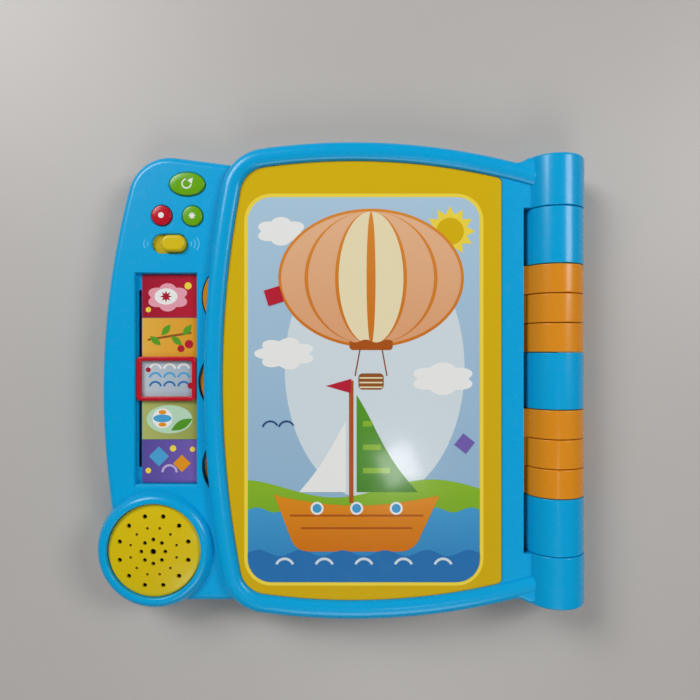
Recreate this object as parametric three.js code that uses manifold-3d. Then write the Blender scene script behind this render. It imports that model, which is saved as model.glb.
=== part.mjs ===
// Toy talking activity book, closed and lying flat: a moulded base with a side panel of controls, a cover and
// three stiff leaves that turn on one hinge barrel. Millimetres, +Z up, +X towards the barrel, origin under
// the middle of the book at the level that the feet stand on.
import * as THREE from "three";
import { mergeVertices } from "three/addons/utils/BufferGeometryUtils.js";
import Module from "manifold-3d";

const wasm = await Module();
wasm.setup();

// Clearances and walls
const fitGap = 0.3;
const seamGap = 0.4;
const shellWall = 2;
const floorWall = 1.8;
const bedWall = 1.8;
const edgeRound = 2.6;

// Heights above the table
const footHeight = 1;
const partingZ = 10;
const bedTop = 16.5;
const leafThickness = 1.7;
const leafGap = 0.3;
const leafCount = 3;
const coverBottom = bedTop + leafCount * (leafThickness + leafGap) + leafGap;
const panelTop = coverBottom - fitGap;

// Book outline seen from above: a bowed fore edge, bowed head and tail edges, a straight edge at the barrel
const foreEdgeX = -75.3;
const foreEdgeRadius = 578;
const headY = 133;
const headCrownX = 8;
const headRadius = 370;
const bookCorner = 26;
const stripEdgeX = 101.5;
const squareCorner = 3;

// Hinge barrel
const barrelX = 121.8;
const barrelZ = 18;
const barrelRadius = 16.3;
const endKnuckleRadius = 16.6;
const endKnuckleLength = 28.6;
const baseKnuckleLength = 31;
const ringLength = 15.8;
const barrelWall = 2;
const hubRadius = 5.2;
const rodRadius = 2.5;
const rodBore = rodRadius + fitGap;
const plugRadius = 6;
const plugThickness = 2.5;
const webThickness = 2;
const armReach = 9;
const leafEdgeX = 101;
const barrelGap = 1.2;
const baseEdgeX = barrelX - barrelRadius - barrelGap;

// Cover
const rimWidth = 10.4;
const rimHeight = 5.7;
const rimRoundWidth = 4.6;
const rimRoundHeight = 3;
const stripHeight = 3.2;
const artThickness = 0.6;
const artTopHeight = 2.7;
const artRightX = 90.8;
const artCorner = 3.5;
const linerThickness = 1;
const linerInset = 1.8;
const cardThickness = 0.4;
const cardInset = 9;
const cardRightX = 92;
const rimCavityTop = 3.7;
const coverScrewX = 80;
const coverScrewY = 98;
const coverBossRadius = 2.9;

// Leaves and their thumb tabs
const leafInset = 4.5;
const pageClearance = 1;
const tabRadius = 20;
const tabProud = 3;
const tabPitch = 47.4;
const tabMiddleY = -0.8;
const scallopClearance = 0.6;

// Side panel of the base
const panelX = -133.4;
const panelCrownY = -6;
const panelSideRadius = 450;
const panelHeadY = 126;
const panelCorner = 24;
const panelHeadSlope = 0.13;
const panelTailY = -124.4;
const panelInnerX = -45;

// Speaker housing
const speakerX = -102.8;
const speakerY = -94.8;
const housingRadius = 33.4;
const housingHeight = 4.3;
const grilleRadius = 25.9;
const grilleThickness = 1.6;
const grilleRise = 2.4;
const grilleSeatZ = 20.5;
const ledgeThickness = 2;
const ledgeWidth = 2.7;
const driverThickness = 1.2;
const magnetRadius = 12;
const magnetBottomZ = 4.5;
const magnetHeight = 6;
const driverRimWidth = 2;
const surroundWidth = 4;
const coneDepth = 5;
const capHeight = 1;
// Shoulder of the housing: how far in from its radius, and how far above the panel
const housingShoulder = [[0, -3], [1.2, -0.3], [3.4, 2.7]];
const housingCrownWidth = 2;
const housingCrownDrop = 0.3;
const housingLip = 0.9;
const holeRows = [
  { count: 8, ring: 6.65, radius: 1.15, turn: 0 },
  { count: 12, ring: 13.2, radius: 0.8, turn: Math.PI / 12 },
  { count: 12, ring: 19.7, radius: 1.3, turn: Math.PI / 12 },
];
const middleHoleRadius = 1.65;

// Window with the printed mode strip and its sliding frame
const windowLeftX = -114.2;
const windowRightX = -80;
const windowMiddleY = 0.8;
const fieldPitch = 23;
const fieldCount = 5;
const windowMargin = 1.7;
const windowDepth = 3.6;
const windowFloor = 1.5;
const stripThickness = 0.6;
const selectorBorder = 2.5;
const selectorHeight = 2.4;
const selectorLength = 25;
const selectorSlotWidth = 1.8;
const selectorStemLength = 8;
const selectorFootWidth = 4.4;
const selectorFootThickness = 1.1;
const selectorCorner = 2;
const selectorOpeningCorner = 1.2;
const selectorRound = 0.8;

// Buttons
const buttonTravel = 1.5;
const buttonRise = 1.6;
const buttonRound = 0.8;
const flangeWidth = 1.2;
const flangeThickness = 1.2;
const stemRadius = 2.4;
const domeHeight = 1.3;
const domeRadius = 3.4;
const padThickness = 1.2;
const padMargin = 5;
const repeatX = -85;
const repeatY = 110;
const repeatHalfWidth = 9.9;
const repeatHalfHeight = 6.5;
const offX = -99.3;
const offY = 92.4;
const onX = -82;
const onY = 92.1;
const roundButtonRadius = 5.6;
const buttons = [
  { name: "repeat_button", x: repeatX, y: repeatY, halfX: repeatHalfWidth, halfY: repeatHalfHeight, color: 0x6fae1c },
  { name: "off_button", x: offX, y: offY, halfX: roundButtonRadius, halfY: roundButtonRadius, color: 0xc8202f },
  { name: "on_button", x: onX, y: onY, halfX: roundButtonRadius, halfY: roundButtonRadius, color: 0x78b41e },
];

// Volume slide
const volumeSlotX = -95;
const volumeSlotY = 76.6;
const volumeSlotLength = 19.8;
const volumeSlotWidth = 10.8;
const volumeTravel = 5;
const nubLength = 14;
const nubWidth = 9.6;
const nubRise = 3;
const nubRound = 2;
const nubStemHalf = 2;
const skirtMargin = 1.2;
const volumeBodyHeight = 3.9;
const volumeBodyLength = 17;
const volumeBodyWidth = 9;

// Circuit board
const boardTopZ = 13.1;
const boardThickness = 1.6;
const boardLeftX = -109;
const boardRightX = -73;
const boardTailY = -56;
const boardHeadY = 117;
const boardScrewX = -93;
const boardScrewSpots = [-44, 60];
const boardScrewLength = 5;
const boardScrewHeadHeight = 1.5;

// Battery compartment
const batteryX = 25;
const cellCount = 3;
const cellRadius = 5.2;
const cellLength = 44.5;
const cellCapRadius = 1.9;
const cellCapHeight = 0.8;
const cellPitch = 10.9;
const compartmentRoof = 1;
const compartmentWall = 1.5;
const doorThickness = 1.5;
const doorMargin = 2;
const doorScrewReach = 7.5;
const doorScrewLength = 6;
const springWire = 0.4;
const springTurns = 3;
const springRadius = 3.4;
const springLength = 5.1;
const springTaper = 0.45;
const contactThickness = 0.5;
const contactWidth = 7;

// Fasteners and feet
const shellScrewSpots = [[-120, 70], [-121, -48], [-50, 106], [-50, -106], [70, 112], [70, -112]];
const bossRadius = 3.7;
const wellWall = 1.2;
const screwRadius = 1.4;
const screwHole = screwRadius + fitGap;
const screwHeadRadius = 2.8;
const screwHeadHeight = 2;
const screwSeatZ = 7;
const screwLength = 5.8;
const smallScrewRadius = 1;
const smallScrewHole = smallScrewRadius + fitGap;
const smallScrewHeadRadius = 2.1;
const smallScrewHeadHeight = 0.6;
const footRadius = 7;
const footThickness = 1.8;
const footChamfer = 0.6;
const footSpots = [[-110, 105], [-110, -105], [94, 104], [94, -104]];

// Facets: steps along an arc of an outline, round a boss, round a large ring and round the barrel
const arcSteps = 2;
const bossSteps = 8;
const footSteps = 10;
const holeSteps = 7;
const ringSteps = 24;
const barrelSteps = 24;
const edgeSteps = 2;

// Colours
const blue = 0x0a9ee0;
const orange = 0xe8932a;
const yellow = 0xdcc81a;
const steel = 0xb4b6b8;
const cardWhite = 0xdfe6ea;

// Mesh work: a closed geometry becomes a solid, solids are joined and cut, and come back as geometry.
function solidOf(geometry) {
  geometry.deleteAttribute("normal");
  geometry.deleteAttribute("uv");
  const merged = mergeVertices(geometry, 1e-4);
  const corners = Array.from(merged.index.array);
  const kept = [];
  for (let i = 0; i < corners.length; i += 3) {
    const [a, b, c] = corners.slice(i, i + 3);
    if (a !== b && b !== c && c !== a) kept.push(a, b, c);
  }
  const vertProperties = merged.attributes.position.array;
  return new wasm.Manifold(new wasm.Mesh({ numProp: 3, vertProperties, triVerts: new Uint32Array(kept) }));
}

function geometryOf(solid) {
  const mesh = solid.getMesh();
  const geometry = new THREE.BufferGeometry();
  geometry.setAttribute("position", new THREE.BufferAttribute(mesh.vertProperties, 3));
  geometry.setIndex(new THREE.BufferAttribute(mesh.triVerts, 1));
  geometry.computeVertexNormals();
  return geometry;
}

const join = (...solids) => solids.reduce((whole, next) => whole.add(next));
const cut = (solid, ...tools) => tools.reduce((left, tool) => left.subtract(tool), solid);

// A box between two corners.
function block(low, high) {
  const [dx, dy, dz] = high.map((v, i) => v - low[i]);
  const geometry = new THREE.BoxGeometry(dx, dy, dz);
  return solidOf(geometry.translate(low[0] + dx / 2, low[1] + dy / 2, low[2] + dz / 2));
}

// An upright plate with the given outline.
function plate(shape, bottom, top, curveSegments = arcSteps) {
  const depth = top - bottom;
  const geometry = new THREE.ExtrudeGeometry(shape, { depth, bevelEnabled: false, curveSegments });
  return solidOf(geometry.translate(0, 0, bottom));
}

// The same plate with its upper and lower edges rounded.
function cushion(shape, bottom, top, width, height = width, steps = edgeSteps, curveSegments = arcSteps) {
  const geometry = new THREE.ExtrudeGeometry(shape, {
    depth: top - bottom - 2 * height,
    bevelSize: width,
    bevelOffset: -width,
    bevelThickness: height,
    bevelSegments: steps,
    curveSegments,
  });
  return solidOf(geometry.translate(0, 0, bottom + height));
}

// How far a cutting tool runs past the piece that it cuts
const reach = 400;
const overshoot = 40;
const slabBetween = (bottom, top) => block([-reach, -reach, bottom], [reach, reach, top]);

function roundTop(shape, bottom, top, width, height = width, steps = edgeSteps, curveSegments = arcSteps) {
  const whole = cushion(shape, bottom - 2 * height, top, width, height, steps, curveSegments);
  return cut(whole, slabBetween(bottom - 3 * height, bottom));
}

function roundBottom(shape, bottom, top, width) {
  const whole = cushion(shape, bottom, top + 2 * width, width);
  return cut(whole, slabBetween(top, top + 3 * width));
}

// A turned piece: profile points are [radius, height], anticlockwise, about the Z axis or the Y axis.
function turned(profile, segments, along = "z") {
  const points = profile.map(([r, h]) => new THREE.Vector2(r, h));
  const geometry = new THREE.LatheGeometry(points, segments);
  return solidOf(along === "z" ? geometry.rotateX(Math.PI / 2) : geometry);
}

function upright(radius, bottom, top, x, y, segments = bossSteps) {
  return turned([[0, bottom], [radius, bottom], [radius, top], [0, top]], segments).translate(x, y, 0);
}

function roundedBox(centreX, centreY, width, height, corner) {
  const shape = new THREE.Shape();
  const [x, y] = [centreX - width / 2 + corner, centreY - height / 2 + corner];
  const [farX, farY] = [centreX + width / 2 - corner, centreY + height / 2 - corner];
  shape.absarc(farX, farY, corner, 0, Math.PI / 2);
  shape.absarc(x, farY, corner, Math.PI / 2, Math.PI);
  shape.absarc(x, y, corner, Math.PI, 1.5 * Math.PI);
  shape.absarc(farX, y, corner, 1.5 * Math.PI, 2 * Math.PI);
  shape.closePath();
  return shape;
}

function oval(x, y, halfWidth, halfHeight) {
  return new THREE.Shape().absellipse(x, y, halfWidth, halfHeight, 0, 2 * Math.PI);
}

// The book's outline, moved inwards by inset, with its straight edge at rightX.
const foreEdge = { x: foreEdgeX + foreEdgeRadius, y: 0 };
const headEdge = { x: headCrownX, y: headY - headRadius };
const foreEdgeAt = (y) => foreEdge.x - Math.sqrt(foreEdgeRadius ** 2 - y ** 2);
const headEdgeAt = (x) => headEdge.y + Math.sqrt(headRadius ** 2 - (x - headEdge.x) ** 2);

function bookOutline(inset, rightX, rightCorner = squareCorner) {
  const corner = Math.max(bookCorner - inset, squareCorner);
  const sideReach = foreEdgeRadius - inset - corner;
  const headReach = headRadius - inset - corner;
  const [dx, dy] = [headEdge.x - foreEdge.x, headEdge.y - foreEdge.y];
  const distance = Math.hypot(dx, dy);
  const along = (sideReach ** 2 - headReach ** 2 + distance ** 2) / (2 * distance);
  const across = Math.sqrt(sideReach ** 2 - along ** 2);
  const cornerX = foreEdge.x + (along * dx + across * dy) / distance;
  const cornerY = foreEdge.y + (along * dy - across * dx) / distance;
  const turnX = rightX - rightCorner;
  const turnY = headEdge.y + Math.sqrt((headRadius - inset - rightCorner) ** 2 - (turnX - headEdge.x) ** 2);
  const rightTurn = Math.atan2(turnY - headEdge.y, turnX - headEdge.x);
  const leftTurn = Math.atan2(cornerY - headEdge.y, cornerX - headEdge.x);
  const sideTurn = Math.atan2(cornerY - foreEdge.y, cornerX - foreEdge.x);
  const full = 2 * Math.PI;
  const shape = new THREE.Shape();
  shape.absarc(turnX, turnY, rightCorner, 0, rightTurn);
  shape.absarc(headEdge.x, headEdge.y, headRadius - inset, rightTurn, leftTurn);
  shape.absarc(cornerX, cornerY, corner, leftTurn, sideTurn);
  shape.absarc(foreEdge.x, foreEdge.y, foreEdgeRadius - inset, sideTurn, full - sideTurn);
  shape.absarc(cornerX, -cornerY, corner, full - sideTurn, full - leftTurn);
  shape.absarc(headEdge.x, -headEdge.y, headRadius - inset, full - leftTurn, full - rightTurn);
  shape.absarc(turnX, -turnY, rightCorner, full - rightTurn, full);
  shape.closePath();
  return shape;
}

// The side panel's outline, moved inwards by inset: bowed side, round head corner, sloping head, straight tail.
function panelOutline(inset) {
  const side = { x: panelX + panelSideRadius, y: panelCrownY };
  const cornerY = panelHeadY - panelCorner;
  const cornerX = side.x - Math.sqrt((panelSideRadius - panelCorner) ** 2 - (cornerY - side.y) ** 2);
  const sideTurn = Math.atan2(cornerY - side.y, cornerX - side.x);
  const headTurn = Math.PI / 2 - Math.atan(panelHeadSlope);
  const corner = panelCorner - inset;
  const headStart = { x: cornerX + corner * Math.cos(headTurn), y: cornerY + corner * Math.sin(headTurn) };
  const tailTurn = 2 * Math.PI - Math.acos(-Math.sqrt(1 - ((speakerY - side.y) / panelSideRadius) ** 2));
  const shape = new THREE.Shape();
  shape.moveTo(panelInnerX, panelTailY + inset);
  shape.lineTo(speakerX, panelTailY + inset);
  shape.absarc(side.x, side.y, panelSideRadius - inset, tailTurn, sideTurn, true);
  shape.absarc(cornerX, cornerY, corner, sideTurn, headTurn, true);
  shape.lineTo(panelInnerX, headStart.y - (panelInnerX - headStart.x) * panelHeadSlope);
  shape.closePath();
  return shape;
}

// Thumb tabs: one disc per leaf, which stands a little proud of the cover's fore edge.
const tabSpots = Array.from({ length: leafCount }, (_, i) => {
  const y = tabMiddleY + (1 - i) * tabPitch;
  return { x: foreEdgeAt(y) - tabProud + tabRadius, y };
});
const tabDisc = (spot, extra, bottom, top) => upright(tabRadius + extra, bottom, top, spot.x, spot.y, ringSteps);

// Barrel pieces: hollow knuckles about the Y axis with a hub for the rod. One inside the barrel has its web in the
// middle, and one at an end has a thick outer wall, outwards being 1 at the head end and -1 at the tail end.
function knuckle(radius, low, high, outwards = 0) {
  const tube = (inner, outer, from, to, segments) =>
    turned([[inner, from], [outer, from], [outer, to], [inner, to], [inner, from]], segments, "y");
  const hollow = (from, to) => tube(hubRadius, radius - barrelWall, from, to, bossSteps + 2);
  const bore = turned([[0, low - 1], [rodBore, low - 1], [rodBore, high + 1], [0, high + 1]], bossSteps, "y");
  const whole = turned([[0, low], [radius, low], [radius, high], [0, high]], barrelSteps, "y");
  const middle = (low + high) / 2;
  const endWall = plugThickness + fitGap + webThickness;
  const tools = {
    [-1]: () => [hollow(low + endWall, high + 1)],
    0: () => [hollow(low - 1, middle - webThickness / 2), hollow(middle + webThickness / 2, high + 1)],
    1: () => [hollow(low - 1, high - endWall)],
  }[outwards]();
  return cut(whole, bore, ...tools).translate(barrelX, 0, barrelZ);
}

// Where each piece of the barrel starts, from the tail end up to the head end.
const barrelOrder = [
  "tail_knuckle", "base_1", "ring_3_a", "ring_2_a", "ring_1_a", "base_2",
  "ring_3_b", "ring_2_b", "ring_1_b", "base_3", "head_knuckle",
];
const barrelLengths = barrelOrder.map((name) => {
  if (name.startsWith("ring")) return ringLength;
  return name.startsWith("base") ? baseKnuckleLength : endKnuckleLength;
});
const barrelLength = barrelLengths.reduce((sum, v) => sum + v, 0) + seamGap * (barrelOrder.length - 1);
const barrelSpans = {};
barrelOrder.reduce((y, name, i) => {
  barrelSpans[name] = [y, y + barrelLengths[i]];
  return y + barrelLengths[i] + seamGap;
}, -barrelLength / 2);

// The origin lies under the middle, between the side of the speaker housing and the end knuckles.
const root = new THREE.Group();
root.position.x = -(speakerX - housingRadius + barrelX + endKnuckleRadius) / 2;

function addMesh(parent, name, shape, color, roughness = 0.35, metalness = 0) {
  const geometry = shape.isBufferGeometry ? shape : geometryOf(shape);
  const mesh = new THREE.Mesh(geometry, new THREE.MeshStandardMaterial({ color, roughness, metalness }));
  mesh.name = name;
  parent.add(mesh);
  return mesh;
}

// Page space: where the leaves lie, with a scallop for each tab.
const pageInset = leafInset - pageClearance;
function pageSpace(extra, bottom, top) {
  const page = plate(bookOutline(pageInset - extra, baseEdgeX + overshoot), bottom, top);
  return join(page, ...tabSpots.map((spot) => tabDisc(spot, scallopClearance + extra, bottom, top)));
}

// A printed card, and the recess that holds one.
const card = (bottom, top) => plate(bookOutline(cardInset, cardRightX), bottom, top);
const cardSpace = (bottom, top) => plate(bookOutline(cardInset - fitGap, cardRightX + fitGap), bottom, top);

// Window of the mode strip
const windowLength = fieldPitch * fieldCount + 2 * windowMargin;
const windowWidth = windowRightX - windowLeftX;
const windowMiddleX = (windowRightX + windowLeftX) / 2;
const windowFloorZ = panelTop - windowDepth;
const windowUnderZ = windowFloorZ - windowFloor;
const selectorTravel = fieldPitch * ((fieldCount - 1) / 2);
const selectorSlotX = windowLeftX + fitGap + selectorBorder / 2;

// Speaker housing: a rounded ring with a seat for the grille and a ledge for the driver.
const housingTop = panelTop + housingHeight;
const boreRadius = grilleRadius + fitGap;
const seatWallRadius = boreRadius + shellWall;
const ledgeBottomZ = grilleSeatZ - ledgeThickness;

function housingSolid() {
  const crown = (boreRadius + housingRadius) / 2;
  const profile = [
    [0, partingZ], [housingRadius, partingZ],
    ...housingShoulder.map(([inwards, above]) => [housingRadius - inwards, panelTop + above]),
    [crown, housingTop - housingCrownDrop], [crown - housingCrownWidth, housingTop],
    [boreRadius + housingLip, housingTop - housingLip / 4], [boreRadius, housingTop - housingLip],
    [0, housingTop - housingLip],
  ];
  return turned(profile, ringSteps).translate(speakerX, speakerY, 0);
}

function housingHollow() {
  const inner = housingRadius - shellWall;
  const profile = [
    [0, partingZ - 1], [inner, partingZ - 1], [inner, ledgeBottomZ],
    [inner - shellWall, panelTop - shellWall], [seatWallRadius, panelTop - shellWall],
    [seatWallRadius, ledgeBottomZ], [boreRadius - ledgeWidth, ledgeBottomZ],
    [boreRadius - ledgeWidth, grilleSeatZ], [boreRadius, grilleSeatZ],
    [boreRadius, housingTop + 1], [0, housingTop + 1],
  ];
  return turned(profile, ringSteps).translate(speakerX, speakerY, 0);
}

function makeUpperShell() {
  const panel = roundTop(panelOutline(0), partingZ, panelTop, edgeRound);
  const bed = plate(bookOutline(pageInset, baseEdgeX), partingZ, bedTop);
  const housing = housingSolid();
  const outer = cut(join(panel, bed, housing), pageSpace(0, bedTop, housingTop + 1));

  const bedUnderZ = bedTop - bedWall;
  const windowBlock = block(
    [windowLeftX - windowFloor, windowMiddleY - windowLength / 2 - windowFloor, windowUnderZ],
    [windowRightX + windowFloor, windowMiddleY + windowLength / 2 + windowFloor, panelTop],
  );
  const panelHollow = cut(
    plate(panelOutline(shellWall), partingZ - 1, panelTop - shellWall),
    pageSpace(shellWall, bedUnderZ, panelTop), windowBlock, housing,
  );
  const bedHollow = cut(
    plate(bookOutline(pageInset + shellWall, baseEdgeX - shellWall), partingZ - 1, bedUnderZ),
    housing,
  );
  const bosses = shellScrewSpots.map(([x, y]) => {
    const top = x < windowLeftX ? panelTop - shellWall / 2 : bedUnderZ + bedWall / 2;
    return upright(bossRadius, partingZ, top, x, y, bossSteps);
  });
  const holes = shellScrewSpots.map(([x, y]) =>
    upright(screwHole, partingZ - 1, screwSeatZ + screwLength + fitGap, x, y, bossSteps));
  const knuckles = ["base_1", "base_2", "base_3"].map((name) => {
    const [low, high] = barrelSpans[name];
    const web = block(
      [baseEdgeX - shellWall / 2, low, partingZ],
      [barrelX - barrelRadius + barrelWall, high, bedTop],
    );
    return join(knuckle(barrelRadius, low, high), web);
  });

  const window = block(
    [windowLeftX, windowMiddleY - windowLength / 2, windowFloorZ],
    [windowRightX, windowMiddleY + windowLength / 2, panelTop + 1],
  );
  const selectorSlot = plate(
    roundedBox(selectorSlotX, windowMiddleY, selectorSlotWidth,
      2 * selectorTravel + selectorStemLength + 2 * fitGap, selectorSlotWidth / 2.1),
    windowUnderZ - 1, windowFloorZ + 1,
  );
  const buttonHoles = buttons.map((b) => {
    const outline = oval(b.x, b.y, b.halfX + fitGap, b.halfY + fitGap);
    return plate(outline, panelTop - 2 * shellWall, panelTop + 1, holeSteps);
  });
  const volumeSlot = plate(
    roundedBox(volumeSlotX, volumeSlotY, volumeSlotLength, volumeSlotWidth, volumeSlotWidth / 2.05),
    panelTop - 2 * shellWall, panelTop + 1,
  );
  const sheetRecess = cardSpace(bedTop - 2 * cardThickness, bedTop + 1);
  const hollowed = join(cut(outer, panelHollow, bedHollow, housingHollow()), ...bosses, ...knuckles);
  return cut(hollowed, ...holes, window, selectorSlot, ...buttonHoles, volumeSlot, sheetRecess);
}

// Battery compartment, which stands on the lower shell's floor and is closed from below by the door.
const cellsWidth = cellPitch * cellCount + fitGap;
const doorTopZ = footHeight + doorThickness;
const cellZ = doorTopZ + fitGap + cellRadius;
const roofZ = cellZ + cellRadius + fitGap;
const springStart = fitGap;
const cellStart = springStart + springLength + fitGap;
const contactStart = cellStart + cellLength + fitGap;
const compartmentLength = contactStart + contactThickness;
const compartmentTail = -compartmentLength / 2;
const compartmentHead = compartmentLength / 2;
const cellXs = Array.from({ length: cellCount }, (_, i) => batteryX + (i - (cellCount - 1) / 2) * cellPitch);
const doorLow = [batteryX - cellsWidth / 2 - doorMargin, compartmentTail - doorMargin];
const doorHigh = [batteryX + cellsWidth / 2 + doorMargin, compartmentHead + doorMargin + doorScrewReach];
const doorScrewY = compartmentHead + doorScrewReach / 2 + doorMargin / 2;
const doorScrewSeatZ = footHeight + smallScrewHeadHeight;

function makeLowerShell() {
  const floorTop = footHeight + floorWall;
  const housingProfile = [
    [0, footHeight], [housingRadius - edgeRound, footHeight],
    [housingRadius - edgeRound / 4, footHeight + edgeRound / 4], [housingRadius, footHeight + edgeRound],
    [housingRadius, partingZ], [0, partingZ],
  ];
  const outer = join(
    roundBottom(panelOutline(0), footHeight, partingZ, edgeRound),
    roundBottom(bookOutline(pageInset, baseEdgeX), footHeight, partingZ, edgeRound),
    turned(housingProfile, ringSteps).translate(speakerX, speakerY, 0),
  );
  const hollow = join(
    plate(panelOutline(shellWall), floorTop, partingZ + 1),
    plate(bookOutline(pageInset + shellWall, baseEdgeX - shellWall), floorTop, partingZ + 1),
    upright(housingRadius - shellWall, floorTop, partingZ + 1, speakerX, speakerY, ringSteps),
  );
  const wellRadius = screwHeadRadius + fitGap;
  const bosses = shellScrewSpots.map(([x, y]) => upright(wellRadius + wellWall, footHeight, partingZ, x, y));
  const boardBosses = boardScrewSpots.map((y) =>
    upright(bossRadius, footHeight, boardTopZ - boardThickness, boardScrewX, y));
  const wall = compartmentWall;
  const compartment = block(
    [batteryX - cellsWidth / 2 - wall, compartmentTail - wall, footHeight],
    [batteryX + cellsWidth / 2 + wall, compartmentHead + wall, roofZ + compartmentRoof],
  );
  const pad = block(
    [doorLow[0] - wall, doorLow[1] - wall, footHeight],
    [doorHigh[0] + wall, doorHigh[1] + wall, doorTopZ + shellWall],
  );
  const doorBoss = upright(bossRadius, footHeight, partingZ, batteryX, doorScrewY);
  const cells = block(
    [batteryX - cellsWidth / 2, compartmentTail, 0],
    [batteryX + cellsWidth / 2, compartmentHead, roofZ],
  );
  const doorRecess = block(
    [doorLow[0] - fitGap, doorLow[1] - fitGap, 0],
    [doorHigh[0] + fitGap, doorHigh[1] + fitGap, doorTopZ],
  );
  const screwHoles = shellScrewSpots.flatMap(([x, y]) => [
    upright(screwHole, 0, partingZ + 1, x, y),
    upright(wellRadius, 0, screwSeatZ, x, y),
  ]);
  const boardHoles = boardScrewSpots.map((y) =>
    upright(smallScrewHole, boardTopZ - boardScrewLength - fitGap, boardTopZ, boardScrewX, y, holeSteps));
  const doorHoleTopZ = doorScrewSeatZ + doorScrewLength + fitGap;
  const doorHole = upright(screwHole, 0, doorHoleTopZ, batteryX, doorScrewY);
  const footRecesses = footSpots.map(([x, y]) =>
    upright(footRadius + fitGap, 0, footThickness, x, y, footSteps));
  const shell = join(cut(outer, hollow), ...bosses, ...boardBosses, compartment, pad, doorBoss);
  return cut(shell, cells, doorRecess, ...screwHoles, ...boardHoles, doorHole, ...footRecesses);
}

// A screw that points up, its head's underside at height zero.
function screw(radius, headRadius, headHeight, length) {
  const head = [[0, -headHeight], [headRadius, -headHeight], [headRadius, 0]];
  const profile = [...head, [radius, 0], [radius, length], [0, length]];
  return geometryOf(turned(profile, holeSteps));
}

const addSteel = (parent, name, shape) => addMesh(parent, name, shape, steel, 0.3, 1);

// Base
const base = new THREE.Group();
root.add(base);
addMesh(base, "base_lower_shell", makeLowerShell(), blue);
addMesh(base, "base_upper_shell", makeUpperShell(), blue);

const door = block([...doorLow, footHeight], [...doorHigh, doorTopZ]);
const doorHole = upright(screwHole, 0, doorTopZ + 1, batteryX, doorScrewY);
const doorSink = upright(smallScrewHeadRadius + fitGap, 0, doorScrewSeatZ, batteryX, doorScrewY);
addMesh(base, "battery_door", cut(door, doorHole, doorSink), blue);
const doorScrewShape = screw(screwRadius, smallScrewHeadRadius, smallScrewHeadHeight, doorScrewLength);
const doorScrew = addSteel(base, "battery_door_screw", doorScrewShape);
doorScrew.position.set(batteryX, doorScrewY, doorScrewSeatZ);

// A battery spring: wire wound from a wide coil at the wall to a narrow one at the cell.
class SpringPath extends THREE.Curve {
  getPoint(t, target = new THREE.Vector3()) {
    const turn = 2 * Math.PI * springTurns * t;
    const radius = springRadius * (1 - springTaper * t);
    const along = (springLength - 2 * springWire) * t + springWire;
    return target.set(radius * Math.cos(turn), along, radius * Math.sin(turn));
  }
}
const wireSection = oval(0, 0, springWire, springWire);
const springGeometry = new THREE.ExtrudeGeometry(wireSection, {
  steps: holeSteps * springTurns, curveSegments: edgeSteps, extrudePath: new SpringPath(),
});
const cellProfile = [
  [0, 0], [cellRadius, 0], [cellRadius, cellLength - cellCapHeight],
  [cellCapRadius, cellLength - cellCapHeight], [cellCapRadius, cellLength], [0, cellLength],
];
const cellGeometry = geometryOf(turned(cellProfile, footSteps, "y"));
cellXs.forEach((x, i) => {
  const bay = new THREE.Group();
  bay.position.set(x, compartmentTail, cellZ);
  base.add(bay);
  const spring = addSteel(bay, "battery_spring_" + (i + 1), springGeometry);
  spring.position.y = springStart;
  const cell = addMesh(bay, "battery_cell_" + (i + 1), cellGeometry, 0x3c3f46, 0.4);
  cell.position.y = cellStart;
  const contact = block(
    [-contactWidth / 2, contactStart, -contactWidth / 2],
    [contactWidth / 2, compartmentLength, contactWidth / 2],
  );
  addSteel(bay, "battery_contact_" + (i + 1), contact);
});

const boardHoles = boardScrewSpots.map((y) =>
  upright(smallScrewHole, 0, boardTopZ + 1, boardScrewX, y, holeSteps));
const board = block([boardLeftX, boardTailY, boardTopZ - boardThickness], [boardRightX, boardHeadY, boardTopZ]);
addMesh(base, "main_circuit_board", cut(board, ...boardHoles), 0x2b7a3d, 0.5);
boardScrewSpots.forEach((y, i) => {
  const shape = screw(smallScrewRadius, smallScrewHeadRadius, boardScrewHeadHeight, boardScrewLength);
  const mesh = addSteel(base, "circuit_board_screw_" + (i + 1), shape);
  mesh.rotation.x = Math.PI;
  mesh.position.set(boardScrewX, y, boardTopZ);
});

const driverRadius = seatWallRadius - fitGap;
const driverUnderZ = ledgeBottomZ - driverThickness;
const driverProfile = [
  [0, magnetBottomZ], [magnetRadius, magnetBottomZ], [magnetRadius, magnetBottomZ + magnetHeight],
  [driverRadius - driverRimWidth, driverUnderZ], [driverRadius, driverUnderZ], [driverRadius, ledgeBottomZ],
  [driverRadius - surroundWidth, ledgeBottomZ], [magnetRadius / 2, ledgeBottomZ - coneDepth],
  [0, ledgeBottomZ - coneDepth + capHeight],
];
const driver = addMesh(base, "speaker_driver", turned(driverProfile, ringSteps / 2), 0x2c2c2e, 0.6);
driver.position.set(speakerX, speakerY, 0);

function makeGrille() {
  const rimZ = housingTop - grilleRise;
  const dome = (r) => rimZ + grilleRise * (1 - (r / grilleRadius) ** 2);
  const rows = [0, 1, 2, 3].map((i) => grilleRadius * (1 - i / 4));
  const inner = grilleRadius - grilleThickness;
  const profile = [
    [inner, grilleSeatZ], [grilleRadius, grilleSeatZ], ...rows.map((r) => [r, dome(r)]), [0, dome(0)],
    [0, dome(0) - grilleThickness], [inner / 2, dome(inner / 2) - grilleThickness],
    [inner, rimZ - grilleThickness], [inner, grilleSeatZ],
  ];
  const spots = holeRows.flatMap(({ count, ring, radius, turn }) =>
    Array.from({ length: count }, (_, i) => {
      const angle = turn + (2 * Math.PI * i) / count;
      return upright(radius, grilleSeatZ, housingTop + 1, ring * Math.cos(angle), ring * Math.sin(angle), 6);
    }));
  const middle = upright(middleHoleRadius, grilleSeatZ, housingTop + 1, 0, 0, holeSteps);
  return cut(turned(profile, ringSteps), middle, ...spots);
}
const grille = addMesh(base, "speaker_grille", makeGrille(), yellow, 0.4);
grille.position.set(speakerX, speakerY, 0);

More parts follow.
